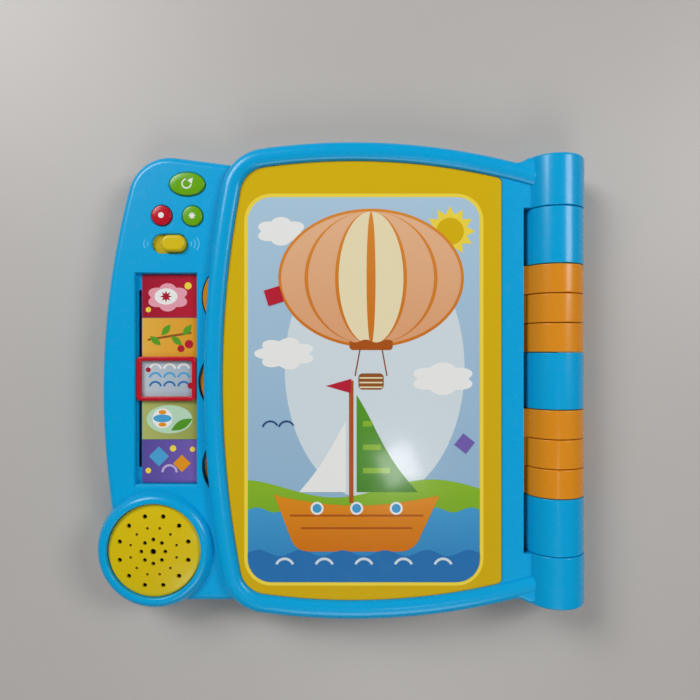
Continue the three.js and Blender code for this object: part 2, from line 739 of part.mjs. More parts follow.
const stripLeftX = selectorSlotX + selectorSlotWidth / 2 + fitGap;
const modeStrip = block(
  [stripLeftX, windowMiddleY - windowLength / 2 + fitGap, windowFloorZ],
  [windowRightX - fitGap, windowMiddleY + windowLength / 2 - fitGap, windowFloorZ + stripThickness],
);
addMesh(base, "mode_strip_card", modeStrip, cardWhite, 0.3);

const volumeBody = block(
  [-volumeBodyLength / 2, -volumeBodyWidth / 2, 0],
  [volumeBodyLength / 2, volumeBodyWidth / 2, volumeBodyHeight],
);
const volumeSwitch = addMesh(base, "volume_switch_body", volumeBody, 0x303236, 0.5);
volumeSwitch.position.set(volumeSlotX, volumeSlotY, boardTopZ);

const buttonXs = buttons.map((b) => b.x);
const buttonYs = buttons.map((b) => b.y);
const padLow = [Math.min(...buttonXs) - padMargin, Math.min(...buttonYs) - padMargin];
const padHigh = [Math.max(...buttonXs) + padMargin, Math.max(...buttonYs) + padMargin];
const padTopZ = boardTopZ + padThickness;
const domePad = join(
  block([...padLow, boardTopZ], [...padHigh, padTopZ]),
  ...buttons.map((b) => upright(domeRadius, padTopZ - padThickness / 2, padTopZ + domeHeight, b.x, b.y)),
);
addMesh(base, "button_dome_pad", domePad, 0xb8bcc0, 0.8);

addMesh(base, "touch_sheet", card(bedTop - 2 * cardThickness, bedTop - cardThickness), 0xc9b98a, 0.6);
addMesh(base, "bed_card", card(bedTop - cardThickness, bedTop), cardWhite, 0.3);

shellScrewSpots.forEach(([x, y], i) => {
  const shape = screw(screwRadius, screwHeadRadius, screwHeadHeight, screwLength);
  const mesh = addSteel(base, "shell_screw_" + (i + 1), shape);
  mesh.position.set(x, y, screwSeatZ);
});
const footProfile = [
  [0, 0], [footRadius - footChamfer, 0], [footRadius, footChamfer],
  [footRadius, footThickness], [0, footThickness],
];
footSpots.forEach(([x, y], i) => {
  const mesh = addMesh(base, "foot_" + (i + 1), turned(footProfile, footSteps), 0x2a2b2d, 0.9);
  mesh.position.set(x, y, 0);
});

// Controls
const flangeTopZ = panelTop - shellWall - fitGap;
const flangeUnderZ = flangeTopZ - flangeThickness;
const stemBottomZ = padTopZ + domeHeight + buttonTravel + fitGap;
buttons.forEach((b) => {
  const capOutline = oval(0, 0, b.halfX, b.halfY);
  const capTopZ = panelTop + buttonRise;
  const cap = roundTop(capOutline, flangeUnderZ, capTopZ, buttonRound, buttonRound, edgeSteps, holeSteps);
  const flangeOutline = oval(0, 0, b.halfX + flangeWidth, b.halfY + flangeWidth);
  const flange = plate(flangeOutline, flangeUnderZ, flangeTopZ, holeSteps);
  const stem = upright(stemRadius, stemBottomZ, flangeTopZ - flangeThickness / 2, 0, 0);
  const mesh = addMesh(root, b.name, join(cap, flange, stem), b.color, 0.35);
  mesh.position.set(b.x, b.y, 0);
});

const nubX = volumeSlotX + volumeSlotLength / 2 - fitGap - nubLength / 2;
const slotLeft = nubX - volumeSlotX + volumeSlotLength / 2;
const slotRight = volumeSlotX - nubX + volumeSlotLength / 2 + volumeTravel;
const skirtHalf = Math.max(slotLeft, slotRight) + skirtMargin;
const nubOutline = roundedBox(0, 0, nubLength, nubWidth, nubWidth / 2.1);
const nub = roundTop(nubOutline, flangeUnderZ, panelTop + nubRise, nubRound);
const skirt = block(
  [-skirtHalf, -volumeSlotWidth / 2 - skirtMargin, flangeUnderZ],
  [skirtHalf, volumeSlotWidth / 2 + skirtMargin, flangeTopZ],
);
const nubStem = block(
  [-nubStemHalf, -nubStemHalf, boardTopZ + volumeBodyHeight + fitGap],
  [nubStemHalf, nubStemHalf, flangeTopZ],
);
const volumeKnob = addMesh(root, "volume_knob", join(nub, skirt, nubStem), yellow, 0.35);
volumeKnob.position.set(nubX, volumeSlotY, 0);

function makeSelector() {
  const width = windowWidth - 2 * fitGap;
  const bottom = windowFloorZ + stripThickness + fitGap;
  const frameOutline = roundedBox(windowMiddleX, windowMiddleY, width, selectorLength, selectorCorner);
  const frame = roundTop(frameOutline, bottom, bottom + selectorHeight, selectorRound);
  const openingWidth = width - 2 * selectorBorder;
  const openingLength = selectorLength - 2 * selectorBorder;
  const opening = plate(
    roundedBox(windowMiddleX, windowMiddleY, openingWidth, openingLength, selectorOpeningCorner),
    bottom - 1, bottom + selectorHeight + 1,
  );
  const stemHalf = selectorStemLength / 2;
  const stemHalfWidth = selectorSlotWidth / 2 - fitGap;
  const footTopZ = windowUnderZ - fitGap;
  const stem = block(
    [selectorSlotX - stemHalfWidth, windowMiddleY - stemHalf, footTopZ - selectorFootThickness / 2],
    [selectorSlotX + stemHalfWidth, windowMiddleY + stemHalf, bottom + selectorHeight / 2],
  );
  const foot = block(
    [selectorSlotX - selectorFootWidth / 2, windowMiddleY - stemHalf, footTopZ - selectorFootThickness],
    [selectorSlotX + selectorFootWidth / 2, windowMiddleY + stemHalf, footTopZ],
  );
  return join(cut(frame, opening), stem, foot);
}
addMesh(root, "mode_selector", makeSelector(), 0xc4202c, 0.3);

// Hinge rod, fixed in the base's knuckles, and the plug in the cover's knuckle at each of its ends
const rodEnd = barrelLength / 2 - plugThickness - fitGap;
const rodProfile = [[0, -rodEnd], [rodRadius, -rodEnd], [rodRadius, rodEnd], [0, rodEnd]];
const rod = addSteel(root, "hinge_rod", turned(rodProfile, bossSteps, "y"));
rod.position.set(barrelX, 0, barrelZ);

const cover = new THREE.Group();
root.add(cover);
const plugProfile = [[0, 0], [plugRadius, 0], [plugRadius, plugThickness], [0, plugThickness]];
[-barrelLength / 2, barrelLength / 2 - plugThickness].forEach((start, i) => {
  const mesh = addMesh(cover, "hinge_end_plug_" + (i + 1), turned(plugProfile, bossSteps, "y"), blue);
  mesh.position.set(barrelX, start, barrelZ);
});

// Cover
const coverSpots = [-1, 1].flatMap((side) => [
  [foreEdgeAt(coverScrewY) + rimWidth / 2, side * coverScrewY],
  [coverScrewX, side * (headEdgeAt(coverScrewX) - rimWidth / 2)],
]);
const artTopZ = coverBottom + artTopHeight;
const stripTopZ = coverBottom + stripHeight;
const linerTopZ = coverBottom + linerThickness;
const rimRightX = barrelX - armReach;

function makeCoverShell() {
  const slab = plate(bookOutline(0, stripEdgeX), coverBottom, stripTopZ);
  const rimOutline = bookOutline(0, rimRightX, rimRoundWidth + 1);
  const rim = cut(
    roundTop(rimOutline, coverBottom, coverBottom + rimHeight, rimRoundWidth, rimRoundHeight, edgeSteps + 1),
    plate(bookOutline(rimWidth, rimRightX + overshoot), coverBottom - 1, coverBottom + rimHeight + 1),
  );
  const ends = ["tail_knuckle", "head_knuckle"].map((name, i) => {
    const [low, high] = barrelSpans[name];
    const outward = i ? 1 : -1;
    const tube = knuckle(endKnuckleRadius, low, high, outward);
    const end = i ? high : low;
    const seatRadius = plugRadius + fitGap;
    const seatDepth = plugThickness + fitGap;
    const seatProfile = [[0, -seatDepth], [seatRadius, -seatDepth], [seatRadius, 1], [0, 1]];
    const plugSeat = turned(seatProfile, bossSteps, "y");
    const arm = block([stripEdgeX - shellWall, low, coverBottom], [rimRightX, high, stripTopZ]);
    const seat = (i ? plugSeat : plugSeat.mirror([0, 1, 0])).translate(barrelX, end, barrelZ);
    return cut(join(tube, arm), seat);
  });
  const barrelCore = endKnuckleRadius - barrelWall / 2;
  const coreProfile = [[0, -reach], [barrelCore, -reach], [barrelCore, reach], [0, reach]];
  const coreRoom = turned(coreProfile, barrelSteps, "y").translate(barrelX, 0, barrelZ);
  const solidCover = join(slab, cut(rim, coreRoom), ...ends);

  const rimTopZ = coverBottom + rimHeight;
  const artRecess = plate(bookOutline(rimWidth, artRightX, artCorner), artTopZ - artThickness, rimTopZ + 1);
  const linerRecess = plate(bookOutline(linerInset, stripEdgeX - linerInset), coverBottom - 1, linerTopZ);
  const rimCavity = cut(
    plate(bookOutline(linerInset, artRightX), linerTopZ - linerThickness / 2, coverBottom + rimCavityTop),
    plate(bookOutline(rimWidth - linerInset, artRightX + rimWidth), coverBottom, rimTopZ),
    ...coverSpots.map(([x, y]) => upright(coverBossRadius, linerTopZ, rimTopZ, x, y)),
  );
  const holes = coverSpots.map(([x, y]) =>
    upright(smallScrewHole, coverBottom, coverBottom + rimCavityTop, x, y, holeSteps));
  return cut(solidCover, artRecess, linerRecess, rimCavity, ...holes);
}

addMesh(cover, "cover_outer_shell", makeCoverShell(), blue);
const artOutline = bookOutline(rimWidth + fitGap, artRightX - fitGap, artCorner - fitGap);
addMesh(cover, "cover_art_panel", plate(artOutline, artTopZ - artThickness, artTopZ), 0xd8a41c, 0.2);
const linerHoles = coverSpots.flatMap(([x, y]) => [
  upright(smallScrewHole, coverBottom - 1, linerTopZ + 1, x, y, holeSteps),
  upright(smallScrewHeadRadius + fitGap, coverBottom - 1, coverBottom + smallScrewHeadHeight, x, y),
]);
const innerCardRecess = cardSpace(coverBottom - 1, coverBottom + cardThickness);
const linerOutline = bookOutline(linerInset + fitGap, stripEdgeX - linerInset - fitGap);
const liner = plate(linerOutline, coverBottom, linerTopZ);
addMesh(cover, "cover_inner_liner", cut(liner, innerCardRecess, ...linerHoles), blue);
addMesh(cover, "cover_inner_card", card(coverBottom, coverBottom + cardThickness), cardWhite, 0.3);
const coverScrewLength = rimCavityTop - smallScrewHeadHeight - fitGap;
coverSpots.forEach(([x, y], i) => {
  const shape = screw(smallScrewRadius, smallScrewHeadRadius, smallScrewHeadHeight, coverScrewLength);
  const mesh = addSteel(cover, "cover_screw_" + (i + 1), shape);
  mesh.position.set(x, y, coverBottom + smallScrewHeadHeight);
});

// Leaves, the topmost first: a frame with its tab and two rings, and a printed card let into each face.
for (let n = 1; n <= leafCount; n += 1) {
  const bottom = coverBottom - n * (leafThickness + leafGap);
  const top = bottom + leafThickness;
  const leaf = new THREE.Group();
  root.add(leaf);
  const rings = ["a", "b"].map((half) => {
    const [low, high] = barrelSpans[`ring_${n}_${half}`];
    const arm = block([leafEdgeX - shellWall, low, bottom], [barrelX - barrelRadius + barrelWall, high, top]);
    return join(knuckle(barrelRadius, low, high), arm);
  });
  const page = plate(bookOutline(leafInset, leafEdgeX), bottom, top);
  const body = join(page, tabDisc(tabSpots[n - 1], 0, bottom, top), ...rings);
  const recesses = [cardSpace(bottom - 1, bottom + cardThickness), cardSpace(top - cardThickness, top + 1)];
  addMesh(leaf, "leaf_frame_" + n, cut(body, ...recesses), orange);
  addMesh(leaf, "leaf_upper_card_" + n, card(top - cardThickness, top), cardWhite, 0.3);
  addMesh(leaf, "leaf_lower_card_" + n, card(bottom, bottom + cardThickness), cardWhite, 0.3);
}

export default root;
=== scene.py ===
"""Looks of a toy talking activity book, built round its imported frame.

Every size is in millimetres, on axes that run as the frame's do: +X towards the hinge barrel,
+Y towards the head edge and +Z up. in_frame() moves the drawing along X, so that its hinge line
lies on the frame's rod.
"""
import logging
import math
from dataclasses import dataclass
from enum import Enum
from typing import Callable, Iterable, Optional, Sequence, Union

import bmesh
import bpy
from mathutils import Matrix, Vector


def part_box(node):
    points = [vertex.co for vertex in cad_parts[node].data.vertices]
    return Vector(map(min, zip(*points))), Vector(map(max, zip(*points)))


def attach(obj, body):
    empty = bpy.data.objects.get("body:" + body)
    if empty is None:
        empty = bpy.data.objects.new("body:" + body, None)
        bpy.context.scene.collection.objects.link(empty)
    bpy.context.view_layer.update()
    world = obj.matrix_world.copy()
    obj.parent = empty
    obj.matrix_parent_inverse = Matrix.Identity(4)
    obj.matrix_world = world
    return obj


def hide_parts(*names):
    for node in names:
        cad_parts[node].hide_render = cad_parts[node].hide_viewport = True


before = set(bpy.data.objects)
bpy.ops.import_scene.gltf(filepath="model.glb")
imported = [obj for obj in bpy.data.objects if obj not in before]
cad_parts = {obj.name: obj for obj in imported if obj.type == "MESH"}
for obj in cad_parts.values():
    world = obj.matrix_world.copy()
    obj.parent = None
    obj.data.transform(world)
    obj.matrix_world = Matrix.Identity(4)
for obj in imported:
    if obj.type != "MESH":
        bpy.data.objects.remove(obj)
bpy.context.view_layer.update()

LOG = logging.getLogger("activity_book")
METRES = 0.001
HINGE_X = 121.8
FULL_TURN = 2 * math.pi
PRINT_SINK = 0.002
OVERCUT = 0.02
SAME_POINT = 1e-6
MERGE_METRES = 1e-6

Point = tuple[float, float]
Level = tuple[float, float]
Colour = tuple[float, float, float]
Operand = Union["Value", float]


# Shader graphs


class Value:
    """A number socket of a shader graph that can be used in Python arithmetic."""

    def __init__(self, graph: "Graph", socket: bpy.types.NodeSocket) -> None:
        """Wraps a socket.

        Args:
            graph: The graph that the socket belongs to.
            socket: The output socket to wrap.
        """
        self.graph = graph
        self.socket = socket

    def _math(self, operation: str, *operands: Operand) -> "Value":
        """Adds one Math node and returns its result."""
        made = self.graph.node("ShaderNodeMath", {"operation": operation}, dict(enumerate(operands)))
        return Value(self.graph, made.outputs[0])

    def __add__(self, other: Operand) -> "Value":
        """Sum."""
        return self._math("ADD", self, other)

    def __mul__(self, other: Operand) -> "Value":
        """Product."""
        return self._math("MULTIPLY", self, other)

    def __sub__(self, other: Operand) -> "Value":
        """Difference."""
        return self._math("SUBTRACT", self, other)

    def __rsub__(self, other: Operand) -> "Value":
        """Difference with the socket on the right."""
        return self._math("SUBTRACT", other, self)

    __radd__ = __add__
    __rmul__ = __mul__

    def above(self, limit: float) -> "Value":
        """One where the value is over the limit, else nought."""
        return self._math("GREATER_THAN", self, limit)

    def clipped(self) -> "Value":
        """The value held between nought and one."""
        made = self.graph.node("ShaderNodeClamp", inputs={0: self})
        return Value(self.graph, made.outputs[0])


class Graph:
    """The node tree of one material."""

    def __init__(self, name: str) -> None:
        """Makes an empty material.

        Args:
            name: The material's name.
        """
        self.material = bpy.data.materials.new(name)
        self.material.use_nodes = True
        self.tree = self.material.node_tree
        self.tree.nodes.clear()

    def node(
        self, kind: str, settings: Optional[dict] = None, inputs: Optional[dict] = None,
    ) -> bpy.types.Node:
        """Adds one node.

        Args:
            kind: Blender's name of the node type.
            settings: Properties to set first.
            inputs: Socket name or number to a value, a Value or a socket to link.

        Returns:
            The new node.
        """
        made = self.tree.nodes.new(kind)
        for key, value in (settings or {}).items():
            setattr(made, key, value)
        for key, value in (inputs or {}).items():
            source = value.socket if isinstance(value, Value) else value
            if isinstance(source, bpy.types.NodeSocket):
                self.tree.links.new(source, made.inputs[key])
            else:
                made.inputs[key].default_value = source
        return made

    def place(self) -> bpy.types.NodeSocket:
        """The point's place on the piece, in metres."""
        return self.node("ShaderNodeTexCoord").outputs["Object"]

    def axis(self, name: str) -> Value:
        """One coordinate of the point's place, in millimetres.

        Args:
            name: X, Y or Z.
        """
        split = self.node("ShaderNodeSeparateXYZ", inputs={0: self.place()})
        return Value(self, split.outputs[name]) * (1 / METRES)

    def noise(self, size: float, detail: float = 3.0, roughness: float = 0.5) -> Value:
        """Even noise from nought to one.

        Args:
            size: Size of its largest features, in millimetres.
            detail: Number of finer layers.
            roughness: Strength of the finer layers.
        """
        made = self.node(
            "ShaderNodeTexNoise", {"noise_dimensions": "3D"},
            {"Vector": self.place(), "Scale": 1 / (size * METRES), "Detail": detail, "Roughness": roughness},
        )
        return Value(self, made.outputs[0])

    def cells(self, size: float) -> Value:
        """Distance to the nearest of many scattered points, in cells.

        Args:
            size: Distance between neighbouring points, in millimetres.
        """
        inputs = {"Vector": self.place(), "Scale": 1 / (size * METRES)}
        made = self.node("ShaderNodeTexVoronoi", inputs=inputs)
        return Value(self, made.outputs["Distance"])

    def spread(self, value: Value, low: float, high: float) -> Value:
        """Maps a range of a value to nought to one, and holds it there.

        Args:
            value: The value to map.
            low: Lower end of its range.
            high: Upper end of its range.
        """
        made = self.node("ShaderNodeMapRange", inputs={0: value, 1: low, 2: high, 3: 0.0, 4: 1.0})
        return Value(self, made.outputs[0])

    def mix(self, factor: Operand, first: object, second: object) -> bpy.types.NodeSocket:
        """A colour between two colours.

        Args:
            factor: Nought for the first, one for the second.
            first: Colour or socket.
            second: Colour or socket.
        """
        colours = [(*c, 1.0) if isinstance(c, tuple) else c for c in (first, second)]
        made = self.node("ShaderNodeMix", {"data_type": "RGBA"}, {0: factor, 6: colours[0], 7: colours[1]})
        return made.outputs[2]

    def bump(
        self, height: Value, depth: float, below: Optional[bpy.types.NodeSocket] = None,
    ) -> bpy.types.NodeSocket:
        """A normal tilted by a height.

        Args:
            height: Height from nought to one.
            depth: Real depth of one unit of height, in millimetres.
            below: Normal of a coarser bump, if any.
        """
        inputs = {"Height": height, "Distance": depth * METRES, "Strength": 1.0}
        if below is not None:
            inputs["Normal"] = below
        return self.node("ShaderNodeBump", inputs=inputs).outputs[0]

    def finish(self, **sockets: object) -> bpy.types.Material:
        """Adds the Principled shader and the output.

        Args:
            sockets: Socket names with spaces written as underscores.

        Returns:
            The finished material.
        """
        inputs = {name.replace("_", " "): value for name, value in sockets.items()}
        shader = self.node("ShaderNodeBsdfPrincipled", inputs=inputs)
        self.node("ShaderNodeOutputMaterial", inputs={"Surface": shader.outputs[0]})
        return self.material


def scaled(colour: Colour, factor: float) -> Colour:
    """A colour made lighter or darker.

    Args:
        colour: Linear colour.
        factor: What each channel is multiplied by.
    """
    return tuple(min(1.0, channel * factor) for channel in colour)


def srgb(code: int) -> Colour:
    """A linear colour from a screen colour.

    Args:
        code: The screen colour as a six-digit hexadecimal number.
    """
    channels = [(code >> shift & 255) / 255 for shift in (16, 8, 0)]
    return tuple(c / 12.92 if c < 0.04045 else ((c + 0.055) / 1.055) ** 2.4 for c in channels)


# Finishes


@dataclass(frozen=True)
class MouldedPlastic:
    """Injection-moulded plastic with a faint texture, flow clouds and handling scuffs."""

    name: str
    colour: int
    roughness: float = 0.3
    coat: float = 0.15
    clouds: float = 0.025
    texture_depth: float = 0.003

    def material(self) -> bpy.types.Material:
        """Builds the material."""
        graph = Graph(self.name)
        base = srgb(self.colour)
        cloud = graph.noise(34.0, 4.0, 0.6)
        fleck = graph.noise(2.2, 2.0)
        scuff = graph.spread(graph.noise(5.0, 8.0, 0.72), 0.56, 0.7)
        tone = graph.mix(cloud, scaled(base, 1 - self.clouds), scaled(base, 1 + self.clouds))
        tone = graph.mix(scuff * 0.012, tone, (0.6, 0.6, 0.6))
        grain = graph.noise(0.55, 2.0, 0.5)
        sink = graph.bump(cloud, 0.08)
        return graph.finish(
            Base_Color=tone,
            Roughness=(fleck * 0.08 + scuff * 0.14 + (self.roughness - 0.06)).clipped(),
            Normal=graph.bump(grain, self.texture_depth, sink),
            Coat_Weight=self.coat,
            Coat_Roughness=0.12,
            Specular_IOR_Level=0.32,
        )


@dataclass(frozen=True)
class PrintedInk:
    """One ink of a print under clear laminate, shaded softly along one axis."""

    name: str
    colour: int
    shade: Optional[int] = None
    axis: str = "Y"
    low: float = -120.0
    high: float = 120.0

    def material(self) -> bpy.types.Material:
        """Builds the material."""
        graph = Graph("ink_" + self.name)
        base = srgb(self.colour)
        tone: object = base
        if self.shade is not None:
            fade = graph.spread(graph.axis(self.axis), self.low, self.high)
            tone = graph.mix(fade, srgb(self.shade), base)
        dots = graph.spread(graph.cells(0.7), 0.18, 0.34)
        tone = graph.mix(dots * 0.035, tone, scaled(base, 0.72))
        wave = graph.noise(26.0, 2.0, 0.4)
        smear = graph.spread(graph.noise(12.0, 6.0, 0.65), 0.52, 0.72)
        return graph.finish(
            Base_Color=tone,
            Roughness=smear * 0.1 + 0.16,
            Normal=graph.bump(wave, 0.12),
            Coat_Weight=0.4,
            Coat_Roughness=0.06,
            Specular_IOR_Level=0.35,
        )


@dataclass(frozen=True)
class Steel:
    """Plated steel with turning lines."""

    name: str = "plated_steel"
    roughness: float = 0.32

    def material(self) -> bpy.types.Material:
        """Builds the material."""
        graph = Graph(self.name)
        lines = graph.noise(0.35, 2.0)
        stain = graph.noise(6.0, 4.0)
        return graph.finish(
            Base_Color=graph.mix(stain, (0.5, 0.5, 0.49), (0.66, 0.66, 0.65)),
            Metallic=1.0,
            Roughness=stain * 0.12 + self.roughness,
            Normal=graph.bump(lines, 0.01),
        )


@dataclass(frozen=True)
class SoftGrip:
    """Matt rubber or silicone with a fine grain and a little dust."""

    name: str
    colour: int

    def material(self) -> bpy.types.Material:
        """Builds the material."""
        graph = Graph(self.name)
        base = srgb(self.colour)
        dust = graph.spread(graph.noise(7.0, 5.0, 0.6), 0.45, 0.8)
        return graph.finish(
            Base_Color=graph.mix(dust * 0.2, base, (0.35, 0.34, 0.32)),
            Roughness=dust * 0.1 + 0.78,
            Normal=graph.bump(graph.noise(0.5, 3.0), 0.02),
        )


@dataclass(frozen=True)
class CircuitBoard:
    """Green solder mask over faint copper traces."""

    name: str = "solder_mask"

    def material(self) -> bpy.types.Material:
        """Builds the material."""
        graph = Graph(self.name)
        traces = graph.spread(graph.cells(4.0), 0.3, 0.34)
        tone = graph.mix(traces, (0.03, 0.16, 0.05), (0.05, 0.26, 0.09))
        return graph.finish(Base_Color=tone, Roughness=traces * 0.1 + 0.35, Normal=graph.bump(traces, 0.03))


@dataclass(frozen=True)
class CellSleeve:
    """Battery sleeve: dark with a plain copper-coloured band at one end."""

    name: str = "battery_sleeve"
    band_from: float = 12.0

    def material(self) -> bpy.types.Material:
        """Builds the material."""
        graph = Graph(self.name)
        band = graph.axis("Y").above(self.band_from)
        tone = graph.mix(band, (0.03, 0.032, 0.04), (0.5, 0.24, 0.1))
        return graph.finish(Base_Color=tone, Roughness=graph.noise(3.0) * 0.1 + 0.3, Coat_Weight=0.3)


@dataclass(frozen=True)
class TouchFilm:
    """Amber membrane with a printed grid of sensor lines."""

    name: str = "sensor_film"
    pitch: float = 12.0

    def material(self) -> bpy.types.Material:
        """Builds the material."""
        graph = Graph(self.name)
        waves = [
            Value(graph, graph.node(
                "ShaderNodeTexWave", {"bands_direction": direction},
                {"Vector": graph.place(), "Scale": FULL_TURN / (20 * self.pitch * METRES)},
            ).outputs["Fac"]).above(0.93)
            for direction in ("X", "Y")
        ]
        lines = (waves[0] + waves[1]).clipped()
        tone = graph.mix(lines, (0.55, 0.42, 0.2), (0.12, 0.12, 0.12))
        return graph.finish(Base_Color=tone, Roughness=graph.noise(8.0) * 0.1 + 0.4)


class Plastic(Enum):
    """The moulded plastics of the book."""

    BLUE = MouldedPlastic("blue_plastic", 0x00ABE6)
    ORANGE = MouldedPlastic("orange_plastic", 0xE9941C)
    YELLOW = MouldedPlastic("yellow_plastic", 0xE0C40A, 0.34, 0.12)
    RED = MouldedPlastic("red_plastic", 0xC81428, 0.22, 0.25)
    GREEN = MouldedPlastic("green_plastic", 0x6CB00C, 0.26, 0.25)
    GREY = MouldedPlastic("dark_plastic", 0x2B2C30, 0.5, 0.0)


class Dresser:
    """Makes each material once and gives it out by finish."""

    def __init__(self) -> None:
        """Starts with no material."""
        self.made: dict[str, bpy.types.Material] = {}

    def __call__(self, finish: object) -> bpy.types.Material:
        """Returns the material of a finish.

        Args:
            finish: A finish, or a Plastic that holds one.
        """
        chosen = finish.value if isinstance(finish, Plastic) else finish
        if chosen.name not in self.made:
            self.made[chosen.name] = chosen.material()
        return self.made[chosen.name]


dress = Dresser()


# Outlines, seen from above


def arc(centre: Point, radius: float, start: float, end: float, steps: int) -> list[Point]:
    """Points along an arc, both ends included.

    Args:
        centre: Centre of the arc.
        radius: Its radius.
        start: First angle in radians.
        end: Last angle in radians.
        steps: Number of stretches.
    """
    turns = [start + (end - start) * i / steps for i in range(steps + 1)]
    return [(centre[0] + radius * math.cos(t), centre[1] + radius * math.sin(t)) for t in turns]


def without_repeats(points: Iterable[Point]) -> list[Point]:
    """A closed outline with points that lie on each other merged."""
    kept: list[Point] = []
    for point in points:
        if not kept or math.dist(point, kept[-1]) > SAME_POINT:
            kept.append(point)
    return kept[:-1] if math.dist(kept[0], kept[-1]) < SAME_POINT else kept


def turned_about(x: float, y: float, ring: Sequence[Point], turn: float) -> list[Point]:
    """An outline about the origin, turned and moved to a centre.

    Args:
        x: Centre.
        y: Centre.
        ring: The outline.
        turn: How far it is turned, in radians.
    """
    c, s = math.cos(turn), math.sin(turn)
    return [(x + u * c - v * s, y + u * s + v * c) for u, v in ring]


def ellipse(x: float, y: float, half_x: float, half_y: float, steps: int = 48) -> list[Point]:
    """An ellipse about a centre.

    Args:
        x: Centre.
        y: Centre.
        half_x: Half of its width.
        half_y: Half of its height.
        steps: Number of sides.
    """
    turns = [FULL_TURN * i / steps for i in range(steps)]
    return [(x + half_x * math.cos(t), y + half_y * math.sin(t)) for t in turns]


def rounded_box(
    x: float, y: float, width: float, height: float, corner: float, steps: int = 6,
) -> list[Point]:
    """A rectangle with round corners about a centre.

    Args:
        x: Centre.
        y: Centre.
        width: Size along X.
        height: Size along Y.
        corner: Corner radius.
        steps: Stretches in each corner.
    """
    points: list[Point] = []
    for i, (sx, sy) in enumerate(((1, 1), (-1, 1), (-1, -1), (1, -1))):
        centre = (x + sx * (width / 2 - corner), y + sy * (height / 2 - corner))
        points += arc(centre, corner, i * math.pi / 2, (i + 1) * math.pi / 2, steps)
    return without_repeats(points)


@dataclass(frozen=True)
class BookShape:
    """The bowed outline that the cover, the leaves and the base share."""

    fore_edge_x: float = -75.3
    fore_edge_radius: float = 578.0
    head_y: float = 132.75
    head_crown_x: float = 8.0
    head_radius: float = 370.0
    corner: float = 26.0
    square_corner: float = 3.0

    def fore_edge_at(self, y: float) -> float:
        """X of the fore edge at a height on the page."""
        return self.fore_edge_x + self.fore_edge_radius - math.sqrt(self.fore_edge_radius**2 - y**2)

    def head_edge_at(self, x: float) -> float:
        """Y of the head edge at a place across the page."""
        return self.head_y - self.head_radius + math.sqrt(self.head_radius**2 - (x - self.head_crown_x) ** 2)

    def outline(self, inset: float, right: float, corner: Optional[float] = None) -> list[Point]:
        """The outline moved inwards.

        Args:
            inset: How far inwards.
            right: X of the straight edge at the barrel.
            corner: Radius of the two corners beside the barrel.
        """
        right_corner = self.square_corner if corner is None else corner
        left_corner = max(self.corner - inset, self.square_corner)
        side = (self.fore_edge_x + self.fore_edge_radius, 0.0)
        head = (self.head_crown_x, self.head_y - self.head_radius)
        a = self.fore_edge_radius - inset - left_corner
        b = self.head_radius - inset - left_corner
        dx, dy = head[0] - side[0], head[1] - side[1]
        distance = math.hypot(dx, dy)
        along = (a**2 - b**2 + distance**2) / (2 * distance)
        across = math.sqrt(a**2 - along**2)
        cx = side[0] + (along * dx + across * dy) / distance
        cy = side[1] + (along * dy - across * dx) / distance
        rx = right - right_corner
        ry = head[1] + math.sqrt((self.head_radius - inset - right_corner) ** 2 - (rx - head[0]) ** 2)
        right_turn = math.atan2(ry - head[1], rx - head[0])
        left_turn = math.atan2(cy - head[1], cx - head[0])
        side_turn = math.atan2(cy - side[1], cx - side[0])
        upper = arc((rx, ry), right_corner, 0.0, right_turn, 6)
        upper += arc(head, self.head_radius - inset, right_turn, left_turn, 44)[1:]
        upper += arc((cx, cy), left_corner, left_turn, side_turn, 18)[1:]
        upper += arc(side, self.fore_edge_radius - inset, side_turn, math.pi, 26)[1:]
        return upper + [(x, -y) for x, y in reversed(upper[:-1])]


@dataclass(frozen=True)
class PanelShape:
    """The side panel's outline: bowed side, round head corner, sloping head, straight tail."""

    side_x: float = -133.4
    crown_y: float = -6.0
    side_radius: float = 450.0
    head_y: float = 126.0
    corner: float = 24.0
    head_slope: float = 0.13
    tail_y: float = -124.4
    inner_x: float = -45.0
    speaker_x: float = -102.8
    speaker_y: float = -94.8

    def outline(self, inset: float) -> list[Point]:
        """The outline moved inwards.

        Args:
            inset: How far inwards.
        """
        side = (self.side_x + self.side_radius, self.crown_y)
        cy = self.head_y - self.corner
        cx = side[0] - math.sqrt((self.side_radius - self.corner) ** 2 - (cy - side[1]) ** 2)
        side_turn = math.atan2(cy - side[1], cx - side[0])
        head_turn = math.pi / 2 - math.atan(self.head_slope)
        drop = (self.speaker_y - side[1]) / self.side_radius
        tail_turn = FULL_TURN - math.acos(-math.sqrt(1 - drop**2))
        corner = self.corner - inset
        points = [(self.inner_x, self.tail_y + inset), (self.speaker_x, self.tail_y + inset)]
        points += arc(side, self.side_radius - inset, tail_turn, side_turn, 60)
        points += arc((cx, cy), corner, side_turn, head_turn, 18)[1:]
        last = points[-1]
        points.append((self.inner_x, last[1] - (self.inner_x - last[0]) * self.head_slope))
        return points[::-1]


BOOK = BookShape()
PANEL = PanelShape()


# Solids


def round_over(inset: float, low: float, high: float, steps: int = 6) -> list[Level]:
    """Levels of a quarter-round edge, from its foot up to its top.

    Args:
        inset: How far in the round reaches.
        low: Height where it starts.
        high: Height of its top.
        steps: Number of stretches.
    """
    turns = [math.pi / 2 * i / steps for i in range(steps + 1)]
    return [(inset * (1 - math.cos(t)), low + (high - low) * math.sin(t)) for t in turns]


def round_under(inset: float, low: float, high: float, steps: int = 6) -> list[Level]:
    """Levels of a quarter-round edge on an underside, from its lowest face up.

    Args:
        inset: How far in the round reaches.
        low: Height of the lowest face.
        high: Height where the round ends.
        steps: Number of stretches.
    """
    return [(i, low + high - z) for i, z in reversed(round_over(inset, low, high, steps))]


